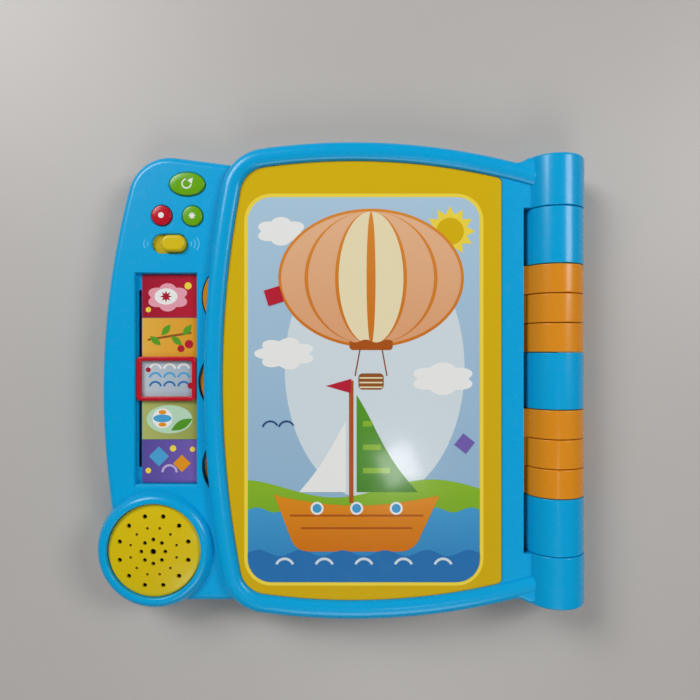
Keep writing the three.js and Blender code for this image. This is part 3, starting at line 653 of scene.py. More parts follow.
def round_both(soft: float, low: float, high: float, steps: int = 3) -> list[Level]:
    """Levels of a plate whose lower and upper edges are rounded.

    Args:
        soft: Radius of the edges.
        low: Height of its underside.
        high: Height of its top.
        steps: Number of stretches of each edge.
    """
    return round_under(soft, low, low + soft, steps) + round_over(soft, high - soft, high, steps)


def bevelled(floor: float, face: float, depth: float, bevel: float, clear: float = 1.0) -> list[Level]:
    """Levels of a cut that is open at the top, with a bevel along its upper edge.

    Args:
        floor: Height of its floor.
        face: Height of the face that it is cut into.
        depth: Height of the bevel.
        bevel: How far the bevel reaches out.
        clear: How far the cutting shape stands over the face.
    """
    return [(0.0, floor), (0.0, face - depth), (bevel, face + OVERCUT), (bevel, face + clear)]


def from_axis(radius: float, levels: Iterable[Level]) -> list[Point]:
    """Levels as the points of a turned profile.

    Args:
        radius: The radius where the inset is nought.
        levels: Inset and height of each level.
    """
    return [(radius - inset, z) for inset, z in levels]


def in_frame(points: Iterable[Sequence[float]]) -> list[tuple[float, float, float]]:
    """Points of the drawing as points of the shared frame, in metres.

    Args:
        points: Points in millimetres.
    """
    low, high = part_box("hinge_rod")
    shift = round((low[0] + high[0]) / 2 / METRES - HINGE_X, 3)
    return [((x + shift) * METRES, y * METRES, z * METRES) for x, y, z in points]


def face_outwards(mesh: bpy.types.Mesh) -> None:
    """Turns all the faces of a mesh outwards."""
    work = bmesh.new()
    work.from_mesh(mesh)
    bmesh.ops.recalc_face_normals(work, faces=work.faces)
    work.to_mesh(mesh)
    work.free()


class Solid:
    """A closed mesh under construction."""

    def __init__(self, name: str, points: Sequence[Sequence[float]], faces: Sequence[Sequence[int]]) -> None:
        """Makes the mesh object.

        Args:
            name: Name of the object.
            points: Corners in millimetres.
            faces: Indices of each face's corners.
        """
        mesh = bpy.data.meshes.new(name)
        mesh.from_pydata(in_frame(points), [], [list(f) for f in faces])
        mesh.validate()
        self.object = bpy.data.objects.new(name, mesh)
        bpy.context.scene.collection.objects.link(self.object)
        face_outwards(mesh)

    @classmethod
    def loft(cls, name: str, outline: Callable[[float], Sequence[Point]], levels: Sequence[Level]) -> "Solid":
        """A solid through an outline at several levels.

        Args:
            name: Name of the object.
            outline: Gives the outline for an inset; always the same number of points.
            levels: Inset and height of each level, upwards.
        """
        points: list[tuple[float, float, float]] = []
        rings: list[list[int]] = []
        for inset, z in levels:
            loop = outline(inset)
            rings.append(list(range(len(points), len(points) + len(loop))))
            points += [(x, y, z) for x, y in loop]
        faces: list[list[int]] = [rings[0][::-1], rings[-1]]
        for low, high in zip(rings, rings[1:]):
            count = len(low)
            faces += [[low[i], low[(i + 1) % count], high[(i + 1) % count], high[i]] for i in range(count)]
        return cls(name, points, faces)

    @classmethod
    def prism(cls, name: str, outline: Sequence[Point], low: float, high: float) -> "Solid":
        """An upright plate.

        Args:
            name: Name of the object.
            outline: Its outline.
            low: Height of its underside.
            high: Height of its top.
        """
        return cls.loft(name, lambda inset: outline, [(0.0, low), (0.0, high)])

    @classmethod
    def turned(
        cls, name: str, profile: Sequence[Point], centre: Sequence[float], steps: int = 96, along: str = "Z",
    ) -> "Solid":
        """A turned piece.

        Args:
            name: Name of the object.
            profile: Radius and height of each point; a radius of nought closes an end.
            centre: Where its axis passes, and where height nought is.
            steps: Sides round the axis.
            along: Z for an upright axis, Y for one along the barrel.
        """
        points: list[tuple[float, float, float]] = []
        rings: list[list[int]] = []
        for radius, height in profile:
            count = 1 if radius == 0 else steps
            rings.append(list(range(len(points), len(points) + count)))
            for i in range(count):
                u = radius * math.cos(FULL_TURN * i / steps)
                v = radius * math.sin(FULL_TURN * i / steps)
                place = (u, v, height) if along == "Z" else (u, height, v)
                points.append(tuple(c + p for c, p in zip(centre, place)))
        faces: list[list[int]] = []
        closed = profile[0][0] != 0 and profile[0] != profile[-1]
        pairs = list(zip(rings, rings[1:])) + ([(rings[-1], rings[0])] if closed else [])
        for low, high in pairs:
            for i in range(steps):
                j = (i + 1) % steps
                corners = (low[i % len(low)], low[j % len(low)], high[j % len(high)], high[i % len(high)])
                face = list(dict.fromkeys(corners))
                if len(face) > 2:
                    faces.append(face)
        return cls(name, points, faces)

    @classmethod
    def box(cls, name: str, low: Sequence[float], high: Sequence[float], round_edge: float = 0.0) -> "Solid":
        """A block between two corners, its edges rounded.

        Args:
            name: Name of the object.
            low: Lowest corner.
            high: Highest corner.
            round_edge: Radius of the edges.
        """
        x, y = (low[0] + high[0]) / 2, (low[1] + high[1]) / 2
        width, height = high[0] - low[0], high[1] - low[1]
        if round_edge == 0:
            corners = [(low[0], low[1]), (high[0], low[1]), (high[0], high[1]), (low[0], high[1])]
            return cls.prism(name, corners, low[2], high[2])

        def outline(inset: float) -> list[Point]:
            """The block's outline at an inset."""
            return rounded_box(x, y, width - 2 * inset, height - 2 * inset, max(2 * round_edge - inset, 0.05))

        return cls.loft(name, outline, round_both(round_edge, low[2], high[2]))

    def _combine(self, other: "Solid", operation: str) -> "Solid":
        """Applies one boolean and removes the other solid."""
        modifier = self.object.modifiers.new("work", "BOOLEAN")
        modifier.operation = operation
        modifier.solver = "EXACT"
        modifier.object = other.object
        ready = self.object.evaluated_get(bpy.context.evaluated_depsgraph_get())
        made = bpy.data.meshes.new_from_object(ready)
        made.name = self.object.name
        self.object.modifiers.clear()
        self.object.data = made
        bpy.data.objects.remove(other.object)
        return self

    def cut(self, *others: "Solid") -> "Solid":
        """Takes other solids away from this one."""
        for other in others:
            self._combine(other, "DIFFERENCE")
        return self

    def join(self, *others: "Solid") -> "Solid":
        """Adds other solids to this one."""
        for other in others:
            self._combine(other, "UNION")
        return self

    def gather(self, *others: "Solid") -> "Solid":
        """Puts other solids into this object as loose parts, with no boolean."""
        work = bmesh.new()
        for solid in (self, *others):
            work.from_mesh(solid.object.data)
        work.to_mesh(self.object.data)
        work.free()
        for other in others:
            bpy.data.objects.remove(other.object)
        return self

    def tidy(self, sharp: float = 32.0) -> "Solid":
        """Merges doubled points, smooths the shading and keeps edges over an angle sharp.

        Args:
            sharp: The angle in degrees.
        """
        work = bmesh.new()
        work.from_mesh(self.object.data)
        bmesh.ops.remove_doubles(work, verts=work.verts, dist=MERGE_METRES)
        bmesh.ops.dissolve_degenerate(work, dist=MERGE_METRES, edges=work.edges)
        work.to_mesh(self.object.data)
        work.free()
        mesh = self.object.data
        mesh.polygons.foreach_set("use_smooth", [True] * len(mesh.polygons))
        mesh.set_sharp_from_angle(angle=math.radians(sharp))
        weighted = self.object.modifiers.new("even shading", "WEIGHTED_NORMAL")
        weighted.keep_sharp = True
        weighted.weight = 80
        return self

    def place(self, finish: object, body: str, slot: str, *nodes: str) -> bpy.types.Object:
        """Dresses the piece and fixes it to a body.

        Args:
            finish: Its finish.
            body: The body that it moves with.
            slot: Handed on to settle(), which does not use it.
            nodes: Frame nodes that it stands for.

        Returns:
            The finished object.
        """
        self.object.data.materials.clear()
        self.object.data.materials.append(dress(finish))
        return settle(self.object, body, slot, *nodes)


REPLACED: set[str] = set()


def settle(piece: bpy.types.Object, body: str, slot: str, *nodes: str) -> bpy.types.Object:
    """Fixes a finished object to a body and names what it stands for.

    Args:
        piece: The object.
        body: The body that it moves with.
        slot: Not used.
        nodes: Frame nodes that it stands for.
    """
    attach(piece, body)
    if nodes:
        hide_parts(*nodes)
        REPLACED.update(nodes)
    LOG.info("%s rides on %s", piece.name, body)
    return piece


class PrintSheet:
    """Flat fields of ink, stacked on a card in thin layers and kept in one mesh."""

    layer_height = 0.012

    def __init__(self, name: str, top: float, facing_up: bool = True) -> None:
        """Starts a sheet.

        Args:
            name: Name of the mesh.
            top: Height of the surface that is printed on.
            facing_up: False for a print on an underside.
        """
        self.name = name
        self.top = top
        self.direction = 1 if facing_up else -1
        self.points: list[tuple[float, float, float]] = []
        self.faces: list[list[int]] = []
        self.slots: list[int] = []
        self.inks: list[PrintedInk] = []
        self.layer = 0

    def paint(self, ink: PrintedInk, *outlines: Sequence[Point]) -> "PrintSheet":
        """Adds closed fields of one ink, over what is there.

        Args:
            ink: The ink.
            outlines: One outline for each field.
        """
        if ink not in self.inks:
            self.inks.append(ink)
        self.layer += 1
        low = self.top - self.direction * self.layer_height
        high = self.top + self.direction * self.layer_height * self.layer
        for outline in outlines:
            start, count = len(self.points), len(outline)
            self.points += [(x, y, z) for z in (low, high) for x, y in outline]
            faces = [list(range(start, start + count))[::-1], list(range(start + count, start + 2 * count))]
            for i in range(count):
                j = (i + 1) % count
                faces.append([start + i, start + j, start + count + j, start + count + i])
            self.faces += faces
            self.slots += [self.inks.index(ink)] * len(faces)
        return self

    def place(self, body: str) -> bpy.types.Object:
        """Makes the mesh and fixes it to a body.

        Args:
            body: The body that it moves with.
        """
        mesh = bpy.data.meshes.new(self.name)
        mesh.from_pydata(in_frame(self.points), [], self.faces)
        for ink in self.inks:
            mesh.materials.append(dress(ink))
        mesh.polygons.foreach_set("material_index", self.slots)
        face_outwards(mesh)
        piece = bpy.data.objects.new(self.name, mesh)
        bpy.context.scene.collection.objects.link(piece)
        return settle(piece, body, "printed_card")


# Sizes that several assemblies share


@dataclass(frozen=True)
class Stack:
    """Heights above the table and the shared walls and gaps."""

    floor: float = 1.0
    parting: float = 10.0
    bed: float = 16.5
    panel: float = 22.5
    cover: float = 22.8
    wall: float = 2.0
    gap: float = 0.3
    leaf: float = 1.7
    leaf_pitch: float = 2.0
    card: float = 0.4
    page_inset: float = 3.5
    card_inset: float = 9.0
    card_right: float = 92.0
    base_right: float = 104.3
    under_edge: float = 2.6
    seam_inset: float = 0.25
    seam_height: float = 0.3

    def over_seam(self) -> list[Level]:
        """The bevel over the parting seam, from the seam upwards."""
        return [(self.seam_inset, self.parting), (0.0, self.parting + self.seam_height)]

    def under_seam(self) -> list[Level]:
        """The bevel under the parting seam, up to the seam."""
        return [(0.0, self.parting - self.seam_height), (self.seam_inset, self.parting)]

    def under_round(self) -> list[Level]:
        """The round edge along the underside."""
        return round_under(self.under_edge, self.floor, self.floor + self.under_edge)


@dataclass(frozen=True)
class Tabs:
    """The thumb tabs at the fore edge, one on each leaf."""

    radius: float = 20.0
    proud: float = 3.0
    pitch: float = 47.4
    middle_y: float = -0.8
    clearance: float = 0.6

    def centre(self, leaf: int) -> Point:
        """Centre of a leaf's tab.

        Args:
            leaf: The leaf's number, 1 for the top one.
        """
        y = self.middle_y + (2 - leaf) * self.pitch
        return BOOK.fore_edge_at(y) - self.proud + self.radius, y


@dataclass(frozen=True)
class Barrel:
    """The hinge barrel: its pieces from the tail end to the head end, and how each is turned."""

    x: float = HINGE_X
    z: float = 18.0
    radius: float = 16.3
    end_radius: float = 16.6
    end_length: float = 28.6
    base_length: float = 31.0
    ring_length: float = 15.8
    seam: float = 0.4
    bore: float = 2.8
    wall: float = 2.0
    plug_radius: float = 6.0
    plug_depth: float = 2.5
    sides: int = 128
    edge_steps: int = 5
    order: tuple[str, ...] = (
        "tail", "base_1", "ring_3_a", "ring_2_a", "ring_1_a", "base_2",
        "ring_3_b", "ring_2_b", "ring_1_b", "base_3", "head",
    )

    def _length(self, name: str) -> float:
        """Length of one piece."""
        if name.startswith("ring"):
            return self.ring_length
        return self.base_length if name.startswith("base") else self.end_length

    @property
    def length(self) -> float:
        """Length of the whole barrel."""
        return sum(map(self._length, self.order)) + self.seam * (len(self.order) - 1)

    @property
    def reach(self) -> float:
        """X up to which a web runs into a piece's outer wall."""
        return self.x - self.radius + self.wall

    def span(self, name: str) -> tuple[float, float]:
        """Where a piece starts and ends along Y.

        Args:
            name: The piece.
        """
        start = -self.length / 2
        for piece in self.order[:self.order.index(name)]:
            start += self._length(piece) + self.seam
        return start, start + self._length(name)

    def knuckle(self, name: str, radius: float, soft_low: float, soft_high: float) -> Solid:
        """One turned piece of the barrel with its bore and rounded edges.

        Args:
            name: The piece.
            radius: Its radius.
            soft_low: Radius of the edge at its tail end.
            soft_high: Radius of the edge at its head end.
        """
        low, high = self.span(name)
        tube, inner = self.bore + self.wall, radius - self.wall
        depth = (high - low) / 2 - self.wall
        seat, seat_depth = self.plug_radius + STACK.gap, self.plug_depth + STACK.gap
        if name == "tail":
            profile = [(self.bore, low + seat_depth), (seat, low + seat_depth), (seat, low)]
        else:
            profile = [(self.bore, low), (tube, low), (tube, low + depth), (inner, low + depth), (inner, low)]
        profile += from_axis(radius, round_under(soft_low, low, low + soft_low, self.edge_steps))
        profile += from_axis(radius, round_over(soft_high, high - soft_high, high, self.edge_steps))
        if name == "head":
            profile += [(seat, high), (seat, high - seat_depth), (self.bore, high - seat_depth)]
        else:
            profile += [(inner, high), (inner, high - depth), (tube, high - depth)]
            profile += [(tube, high), (self.bore, high)]
        return Solid.turned("knuckle", profile, (self.x, 0.0, self.z), self.sides, "Y")


STACK = Stack()
TABS = Tabs()
BARREL = Barrel()


def book_plate(name: str, inset: float, right: float, low: float, high: float, soft: float = 0.0) -> Solid:
    """A plate with the book's outline.

    Args:
        name: Name of the mesh.
        inset: How far inside the book's outline.
        right: X of its straight edge.
        low: Height of its underside.
        high: Height of its top.
        soft: Radius of its edges.
    """
    def outline(more: float) -> list[Point]:
        """The plate's outline, moved in by more."""
        return BOOK.outline(inset + more, right - more)

    if soft == 0:
        return Solid.prism(name, outline(0.0), low, high)
    return Solid.loft(name, outline, round_both(soft, low, high))


def card_outline(extra: float = 0.0) -> list[Point]:
    """The outline of a page's printed card, grown by a clearance."""
    return BOOK.outline(STACK.card_inset - extra, STACK.card_right + extra)


def card_room(low: float, high: float) -> Solid:
    """The room that a printed card lies in."""
    return Solid.prism("card room", card_outline(STACK.gap), low, high)


def disc(name: str, radius: float, low: float, high: float, x: float, y: float, steps: int = 48) -> Solid:
    """An upright cylinder.

    Args:
        name: Name of the mesh.
        radius: Its radius.
        low: Height of its underside.
        high: Height of its top.
        x: Centre.
        y: Centre.
        steps: Number of sides.
    """
    return Solid.turned(name, [(0, low), (radius, low), (radius, high), (0, high)], (x, y, 0.0), steps)


def page_space(extra: float, low: float, high: float) -> Solid:
    """The room that the leaves lie in, with a scallop for each tab.

    Args:
        extra: How much larger it is made.
        low: Height of its floor.
        high: Height of its top.
    """
    space = book_plate("room", STACK.page_inset - extra, STACK.base_right + 40, low, high)
    for leaf in (1, 2, 3):
        x, y = TABS.centre(leaf)
        space.join(disc("scallop", TABS.radius + TABS.clearance + extra, low, high, x, y, 160))
    return space


@dataclass(frozen=True)
class Housing:
    """The round speaker housing at the panel's tail end."""

    x: float = -102.8
    y: float = -94.8
    radius: float = 33.4
    top: float = 26.8
    shoulder: float = 17.5
    crown: float = 28.0
    bore: float = 26.2
    lip: float = 0.9
    seat: float = 20.5
    ledge: float = 2.0
    driver_ledge: float = 2.7
    sides: int = 160
    room_sides: int = 96

    def upper(self) -> Solid:
        """Its rounded upper half."""
        rounded = round_over(self.radius - self.crown, self.shoulder, self.top, 16)
        profile = [(0.0, STACK.parting)] + from_axis(self.radius, STACK.over_seam() + rounded)
        profile += [(self.bore + i, z) for i, z in round_over(self.lip, self.top - self.lip, self.top)[::-1]]
        profile.append((0.0, self.top - self.lip))
        return Solid.turned("housing", profile, (self.x, self.y, 0.0), self.sides)

    def hollow(self) -> Solid:
        """The room inside it: the grille's seat, the driver's ledge and the space behind."""
        inner = self.radius - STACK.wall
        seat_wall = self.bore + STACK.wall
        ledge = self.seat - self.ledge
        roof = STACK.panel - STACK.wall
        throat = self.bore - self.driver_ledge
        profile = [
            (0.0, STACK.parting - 1), (inner, STACK.parting - 1), (inner, ledge), (inner - STACK.wall, roof),
            (seat_wall, roof), (seat_wall, ledge), (throat, ledge), (throat, self.seat),
            (self.bore, self.seat), (self.bore, self.top + 1), (0.0, self.top + 1),
        ]
        return Solid.turned("housing room", profile, (self.x, self.y, 0.0), self.room_sides)

    def lower(self) -> Solid:
        """Its lower half."""
        outside = from_axis(self.radius, STACK.under_round() + STACK.under_seam())
        profile = [(0.0, STACK.floor), *outside, (0.0, STACK.parting)]
        return Solid.turned("housing", profile, (self.x, self.y, 0.0), self.sides)


HOUSING = Housing()
SCREW_SPOTS = ((-120, 70), (-121, -48), (-50, 106), (-50, -106), (70, 112), (70, -112))
SCREW_SEAT = 7.0
SCREW_HOLE = 1.7
SCREW_SINK = 2.4
FOOT_SPOTS = ((-110, 105), (-110, -105), (94, 104), (94, -104))


@dataclass(frozen=True)
class Button:
    """One push button: an oval cap with a flange under the panel."""

    name: str
    x: float
    y: float
    half_x: float
    half_y: float
    plastic: Plastic
    slot: str


BUTTONS = (
    Button("repeat", -85.0, 110.0, 9.9, 6.5, Plastic.GREEN, "green_plastic"),
    Button("off", -99.3, 92.4, 5.6, 5.6, Plastic.RED, "red_plastic"),
    Button("on", -82.0, 92.1, 5.6, 5.6, Plastic.GREEN, "green_plastic"),
)


# Base


@dataclass
class UpperShell:
    """The blue upper half of the base: side panel, speaker housing, page bed and three knuckles."""

    edge: float = 4.2
    window_left: float = -114.2
    window_right: float = -80.0
    window_y: float = 0.8
    window_length: float = 118.4
    window_depth: float = 3.6
    window_slope: float = 3.0
    window_flare: float = 0.7
    window_wall: float = 2.5
    window_end: float = 5.0
    window_floor: float = 5.1
    bed_wall: float = 1.8
    slot_x: float = -112.65
    slot_width: float = 1.8
    slot_length: float = 100.6
    volume_x: float = -95.0
    volume_y: float = 76.6
    volume_length: float = 19.8
    volume_width: float = 10.8
    slot_depth: float = 7.0
    hole_depth: float = 4.0
    hole_bevel: float = 0.4
    volume_bevel: float = 0.5

    def _panel(self) -> Solid:
        """The side panel with its rounded upper edge."""
        levels = STACK.over_seam() + round_over(self.edge, STACK.panel - self.edge, STACK.panel, 8)
        return Solid.loft("panel", PANEL.outline, levels)

    def _window(self) -> Solid:
        """The window's room, whose tail wall slopes."""
        low, high = self.window_y - self.window_length / 2, self.window_y + self.window_length / 2

        def outline(flare: float) -> list[Point]:
            """The window at a flare of nought to one."""
            tail, more = low - self.window_slope * flare, self.window_flare * flare
            left, right = self.window_left - more, self.window_right + more
            return [(left, tail), (right, tail), (right, high + more), (left, high + more)]

        top = STACK.panel
        levels = [(0.0, top - self.window_depth), (0.1, top - 0.9), (1.0, top + 0.05), (1.0, top + 1)]
        return Solid.loft("window", outline, levels)

    def _openings(self) -> list[Solid]:
        """What is cut out of the panel's top."""
        top = STACK.panel
        made = [self._window()]
        width, length = self.slot_width, self.slot_length
        slot = rounded_box(self.slot_x, self.window_y, width, length, width / 2.1)
        made.append(Solid.prism("slot", slot, top - self.slot_depth, top - self.window_depth + 1))
        for button in BUTTONS:
            def outline(grow: float, b: Button = button) -> list[Point]:
                """The button's hole, grown at the panel's face."""
                more = STACK.gap + grow
                return ellipse(b.x, b.y, b.half_x + more, b.half_y + more, 72)
            levels = bevelled(top - self.hole_depth, top, self.hole_bevel, self.hole_bevel)
            made.append(Solid.loft("hole", outline, levels))

        def volume(grow: float) -> list[Point]:
            """The volume slide's slot, grown at the panel's face."""
            length, width = self.volume_length + 2 * grow, self.volume_width + 2 * grow
            return rounded_box(self.volume_x, self.volume_y, length, width, width / 2.05, 10)

        levels = bevelled(top - self.hole_depth, top, self.volume_bevel, self.volume_bevel)
        return made + [Solid.loft("volume slot", volume, levels)]

    def _rooms(self) -> list[Solid]:
        """The hollows under the panel and under the bed."""
        under = STACK.bed - self.bed_wall
        roof = STACK.panel - STACK.wall
        half = self.window_length / 2 + self.window_end
        left, right = self.window_left - self.window_wall, self.window_right + self.window_wall
        window = Solid.box(
            "window wall", (left, self.window_y - half, STACK.panel - self.window_floor),
            (right, self.window_y + half, STACK.panel),
        )
        panel = Solid.prism("panel room", PANEL.outline(STACK.wall), STACK.parting - 1, roof)
        panel.cut(page_space(STACK.wall, under, STACK.panel), window, HOUSING.upper())
        inset, end = STACK.page_inset + STACK.wall, STACK.base_right - STACK.wall
        bed = book_plate("bed room", inset, end, STACK.parting - 1, under)
        return [panel, bed.cut(HOUSING.upper()), HOUSING.hollow()]

    def build(self) -> bpy.types.Object:
        """Builds and dresses the shell."""
        shell = self._panel()
        shell.object.name = shell.object.data.name = "upper_shell"
        bed = book_plate("bed", STACK.page_inset, STACK.base_right, STACK.parting, STACK.bed)
        shell.join(bed, HOUSING.upper())
        shell.cut(page_space(0.0, STACK.bed, HOUSING.top + 1), *self._rooms())
        for name in ("base_1", "base_2", "base_3"):
            low, high = BARREL.span(name)
            foot = (STACK.base_right - 1, low, STACK.parting)
            web = Solid.box("web", foot, (BARREL.reach, high, STACK.bed))
            shell.join(BARREL.knuckle(name, BARREL.radius, 0.5, 0.5), web)
        shell.cut(*self._openings(), card_room(STACK.bed - 2 * STACK.card, STACK.bed + 1))
        return shell.tidy().place(Plastic.BLUE, "base", "blue_plastic", "base_upper_shell")


@dataclass(frozen=True)
class BatteryDoor:
    """The screwed door under the battery compartment."""

    low: Point = (6.5, -27.5)
    high: Point = (43.5, 35.0)
    top: float = 2.5
    screw: Point = (25.0, 30.25)
    ribs: int = 5
    rib_start: float = 6.0
    rib_pitch: float = 3.0
    rib_length: float = 20.0
    rib_width: float = 1.2
    rib_depth: float = 0.5
    sink_depth: float = 0.6
    soft: float = 0.35

    def build(self) -> bpy.types.Object:
        """Builds and dresses the door."""
        door = Solid.box("battery_door", (*self.low, STACK.floor), (*self.high, self.top), self.soft)
        middle = (self.low[0] + self.high[0]) / 2
        for i in range(self.ribs):
            y = self.low[1] + self.rib_start + i * self.rib_pitch
            groove = rounded_box(middle, y, self.rib_length - 2 * i, self.rib_width, self.rib_width / 2.1)
            door.cut(Solid.prism("groove", groove, 0.0, STACK.floor + self.rib_depth))
        door.cut(
            disc("sink", SCREW_SINK, 0.0, STACK.floor + self.sink_depth, *self.screw),
            disc("hole", SCREW_HOLE, 0.0, self.top + 1, *self.screw),
        )
        return door.tidy().place(Plastic.BLUE, "base", "blue_plastic", "battery_door")


@dataclass
class LowerShell:
    """The blue lower half of the base with the battery compartment and the screw wells."""

    floor_wall: float = 1.8
    battery_x: float = 25.0
    cells_width: float = 33.0
    compartment: float = 51.0
    roof: float = 13.5
    wall: float = 1.5
    door: BatteryDoor = BatteryDoor()
    well_radius: float = 3.1
    boss_wall: float = 1.2
    foot_radius: float = 7.3
    foot_depth: float = 1.8

    def _outer(self) -> Solid:
        """The outside of the shell."""
        levels = STACK.under_round() + STACK.under_seam()

        def outline(inset: float) -> list[Point]:
            """The outline under the pages."""
            return BOOK.outline(STACK.page_inset + inset, STACK.base_right - inset)

        book = Solid.loft("book", outline, levels)
        return Solid.loft("lower_shell", PANEL.outline, levels).join(book, HOUSING.lower())

    def _room(self) -> Solid:
        """The inside of the shell."""
        low, high = STACK.floor + self.floor_wall, STACK.parting + 1
        room = Solid.prism("room", PANEL.outline(STACK.wall), low, high)
        inset, right = STACK.page_inset + STACK.wall, STACK.base_right - STACK.wall
        radius = HOUSING.radius - STACK.wall
        return room.join(
            book_plate("book room", inset, right, low, high),
            disc("housing room", radius, low, high, HOUSING.x, HOUSING.y, HOUSING.room_sides),
        )

    def build(self) -> bpy.types.Object:
        """Builds and dresses the shell."""
        shell = self._outer().cut(self._room())
        half_x, half_y = self.cells_width / 2, self.compartment / 2
        left, right = self.battery_x - half_x, self.battery_x + half_x
        root = STACK.floor + self.floor_wall / 2
        wall, gap = self.wall, STACK.gap
        low, high = self.door.low, self.door.high
        boss, boss_top = self.well_radius + self.boss_wall, STACK.parting - 0.1
        shell.join(
            Solid.box(
                "compartment", (left - wall, -half_y - wall, root),
                (right + wall, half_y + wall, self.roof + 1),
            ),
            Solid.box(
                "pad", (low[0] - wall, low[1] - wall, root),
                (high[0] + wall, high[1] + wall, self.door.top + 2),
            ),
            *[disc("boss", boss, root, boss_top, x, y) for x, y in SCREW_SPOTS],
        )
        shell.cut(
            Solid.box("cells", (left, -half_y, 0.0), (right, half_y, self.roof)),
            Solid.box(
                "door room", (low[0] - gap, low[1] - gap, 0.0), (high[0] + gap, high[1] + gap, self.door.top),
            ),
            *[disc("well", self.well_radius, 0.0, SCREW_SEAT, x, y) for x, y in SCREW_SPOTS],
            *[disc("hole", SCREW_HOLE, 0.0, STACK.parting + 1, x, y) for x, y in SCREW_SPOTS],
            *[disc("foot room", self.foot_radius, 0.0, self.foot_depth, x, y, 64) for x, y in FOOT_SPOTS],
        )
        return shell.tidy().place(Plastic.BLUE, "base", "blue_plastic", "base_lower_shell")


@dataclass
class Screw:
    """A pan-head screw that points up, with a cross recess."""

    name: str
    x: float
    y: float
    seat: float
    radius: float
    head_radius: float
    head_height: float
    length: float
    body: str = "base"
    pitch: float = 0.7
    core: float = 0.8
    tip: float = 0.3

    def build(self) -> bpy.types.Object:
        """Builds and dresses the screw."""
        low = self.seat - self.head_height
        soft = self.head_height * 0.45
        profile = [(0.0, low)] + from_axis(self.head_radius, round_under(soft, low, low + soft, 4))
        profile += [(self.head_radius, self.seat), (self.radius, self.seat)]
        threads = max(4, int(self.length / self.pitch))
        core, end = self.radius * self.core, self.seat + self.length
        for i in range(threads):
            start = self.seat + self.length * (i + 0.3) / (threads + 1)
            profile += [(self.radius, start), (core, start + self.length / (threads + 1) * 0.5)]
        profile += [(core, end - self.tip), (0.0, end)]
        screw = Solid.turned(self.name, profile, (self.x, self.y, 0.0), 32)
        arm, thick = self.head_radius * 0.55, self.head_radius * 0.13
        depth = low + self.head_height * 0.6
        for half_x, half_y in ((arm, thick), (thick, arm)):
            corner = (self.x - half_x, self.y - half_y, low - 1)
            screw.cut(Solid.box("recess", corner, (self.x + half_x, self.y + half_y, depth)))
        return screw.tidy().place(Steel(), self.body, "steel", self.name)


@dataclass
class Foot:
    """One rubber foot with a dished face."""

    number: int
    x: float
    y: float
    radius: float = 7.0
    height: float = 1.8
    dish: float = 5.0
    dish_depth: float = 0.35
    soft: float = 0.6

    def build(self) -> bpy.types.Object:
        """Builds and dresses the foot."""
        profile = [(0.0, self.dish_depth), (self.dish - 0.4, self.dish_depth), (self.dish, 0.0)]
        profile += from_axis(self.radius, round_under(self.soft, 0.0, self.soft, 5))
        profile += [(self.radius, self.height), (0.0, self.height)]
        foot = Solid.turned(f"foot_pad_{self.number}", profile, (self.x, self.y, 0.0), 64)
        rubber = SoftGrip("foot_rubber", 0x2C2D30)
        return foot.tidy().place(rubber, "base", "foot_rubber", f"foot_{self.number}")


@dataclass(frozen=True)
class HoleRow:
    """One ring of holes in the grille."""

    count: int
    ring: float
    radius: float
    turn: float = 0.0


@dataclass
class Grille:
    """The yellow domed speaker grille with its rings of holes."""

    radius: float = 25.9
    thickness: float = 1.6
    rise: float = 2.4
    middle_hole: float = 1.65
    edge: float = 0.5
    edge_bevel: float = 0.15
    dome_steps: int = 14
    rows: tuple[HoleRow, ...] = (
        HoleRow(8, 6.65, 1.15), HoleRow(12, 13.2, 0.8, math.pi / 12), HoleRow(12, 19.7, 1.3, math.pi / 12),
    )

    def build(self) -> bpy.types.Object:
        """Builds and dresses the grille."""
        rim, steps = HOUSING.top - self.rise, self.dome_steps
        radii = [self.radius * (1 - i / steps) for i in range(steps)]
        inner = self.radius - self.thickness
        profile = [(inner, HOUSING.seat), (self.radius, HOUSING.seat)]
        profile += [(self.radius, rim - self.edge), (self.radius - self.edge_bevel, rim - 0.1)]
        profile += [(r, rim + self.rise * (1 - (r / self.radius) ** 2)) for r in radii[1:]]
        profile += [(0.0, rim + self.rise), (0.0, rim + self.rise - self.thickness)]
        under = [inner * i / 8 for i in range(1, 9)]
        profile += [(r, rim + self.rise * (1 - (r / self.radius) ** 2) - self.thickness) for r in under]
        grille = Solid.turned("speaker_grille_cap", profile, (HOUSING.x, HOUSING.y, 0.0), 122)
        spots = [(0.0, 0.0, self.middle_hole)]
        for row in self.rows:
            for i in range(row.count):
                angle = row.turn + FULL_TURN * i / row.count
                spots.append((row.ring * math.cos(angle), row.ring * math.sin(angle), row.radius))
        low, high = HOUSING.seat, HOUSING.top + 1
        holes = [disc("hole", r, low, high, HOUSING.x + x, HOUSING.y + y, 23) for x, y, r in spots]
        grille.cut(holes[0].gather(*holes[1:]))
        return grille.tidy().place(Plastic.YELLOW, "base", "yellow_plastic", "speaker_grille")


# Printed motifs, each an outline or a few


def star_wheel(x: float, y: float, radius: float, inner: float, points: int) -> list[Point]:
    """A wheel with pointed rays.

    Args:
        x: Centre.
        y: Centre.
        radius: Radius of the rays' tips.
        inner: Radius between the rays.
        points: Number of rays.
    """
    corners = []
    for i in range(2 * points):
        reach = radius if i % 2 == 0 else inner
        angle = math.pi * i / points
        corners.append((x + reach * math.cos(angle), y + reach * math.sin(angle)))
    return corners


def puff(x: float, y: float, half_x: float, half_y: float, lobes: int = 7) -> list[Point]:
    """A cloud with round lobes.

    Args:
        x: Centre.
        y: Centre.
        half_x: Half of its width.
        half_y: Half of its height.
        lobes: Number of lobes.
    """
    points = []
    for i in range(lobes * 10):
        angle = FULL_TURN * i / (lobes * 10)
        reach = 0.78 + 0.22 * abs(math.sin(lobes * angle / 2))
        points.append((x + half_x * reach * math.cos(angle), y + half_y * reach * math.sin(angle)))
    return points


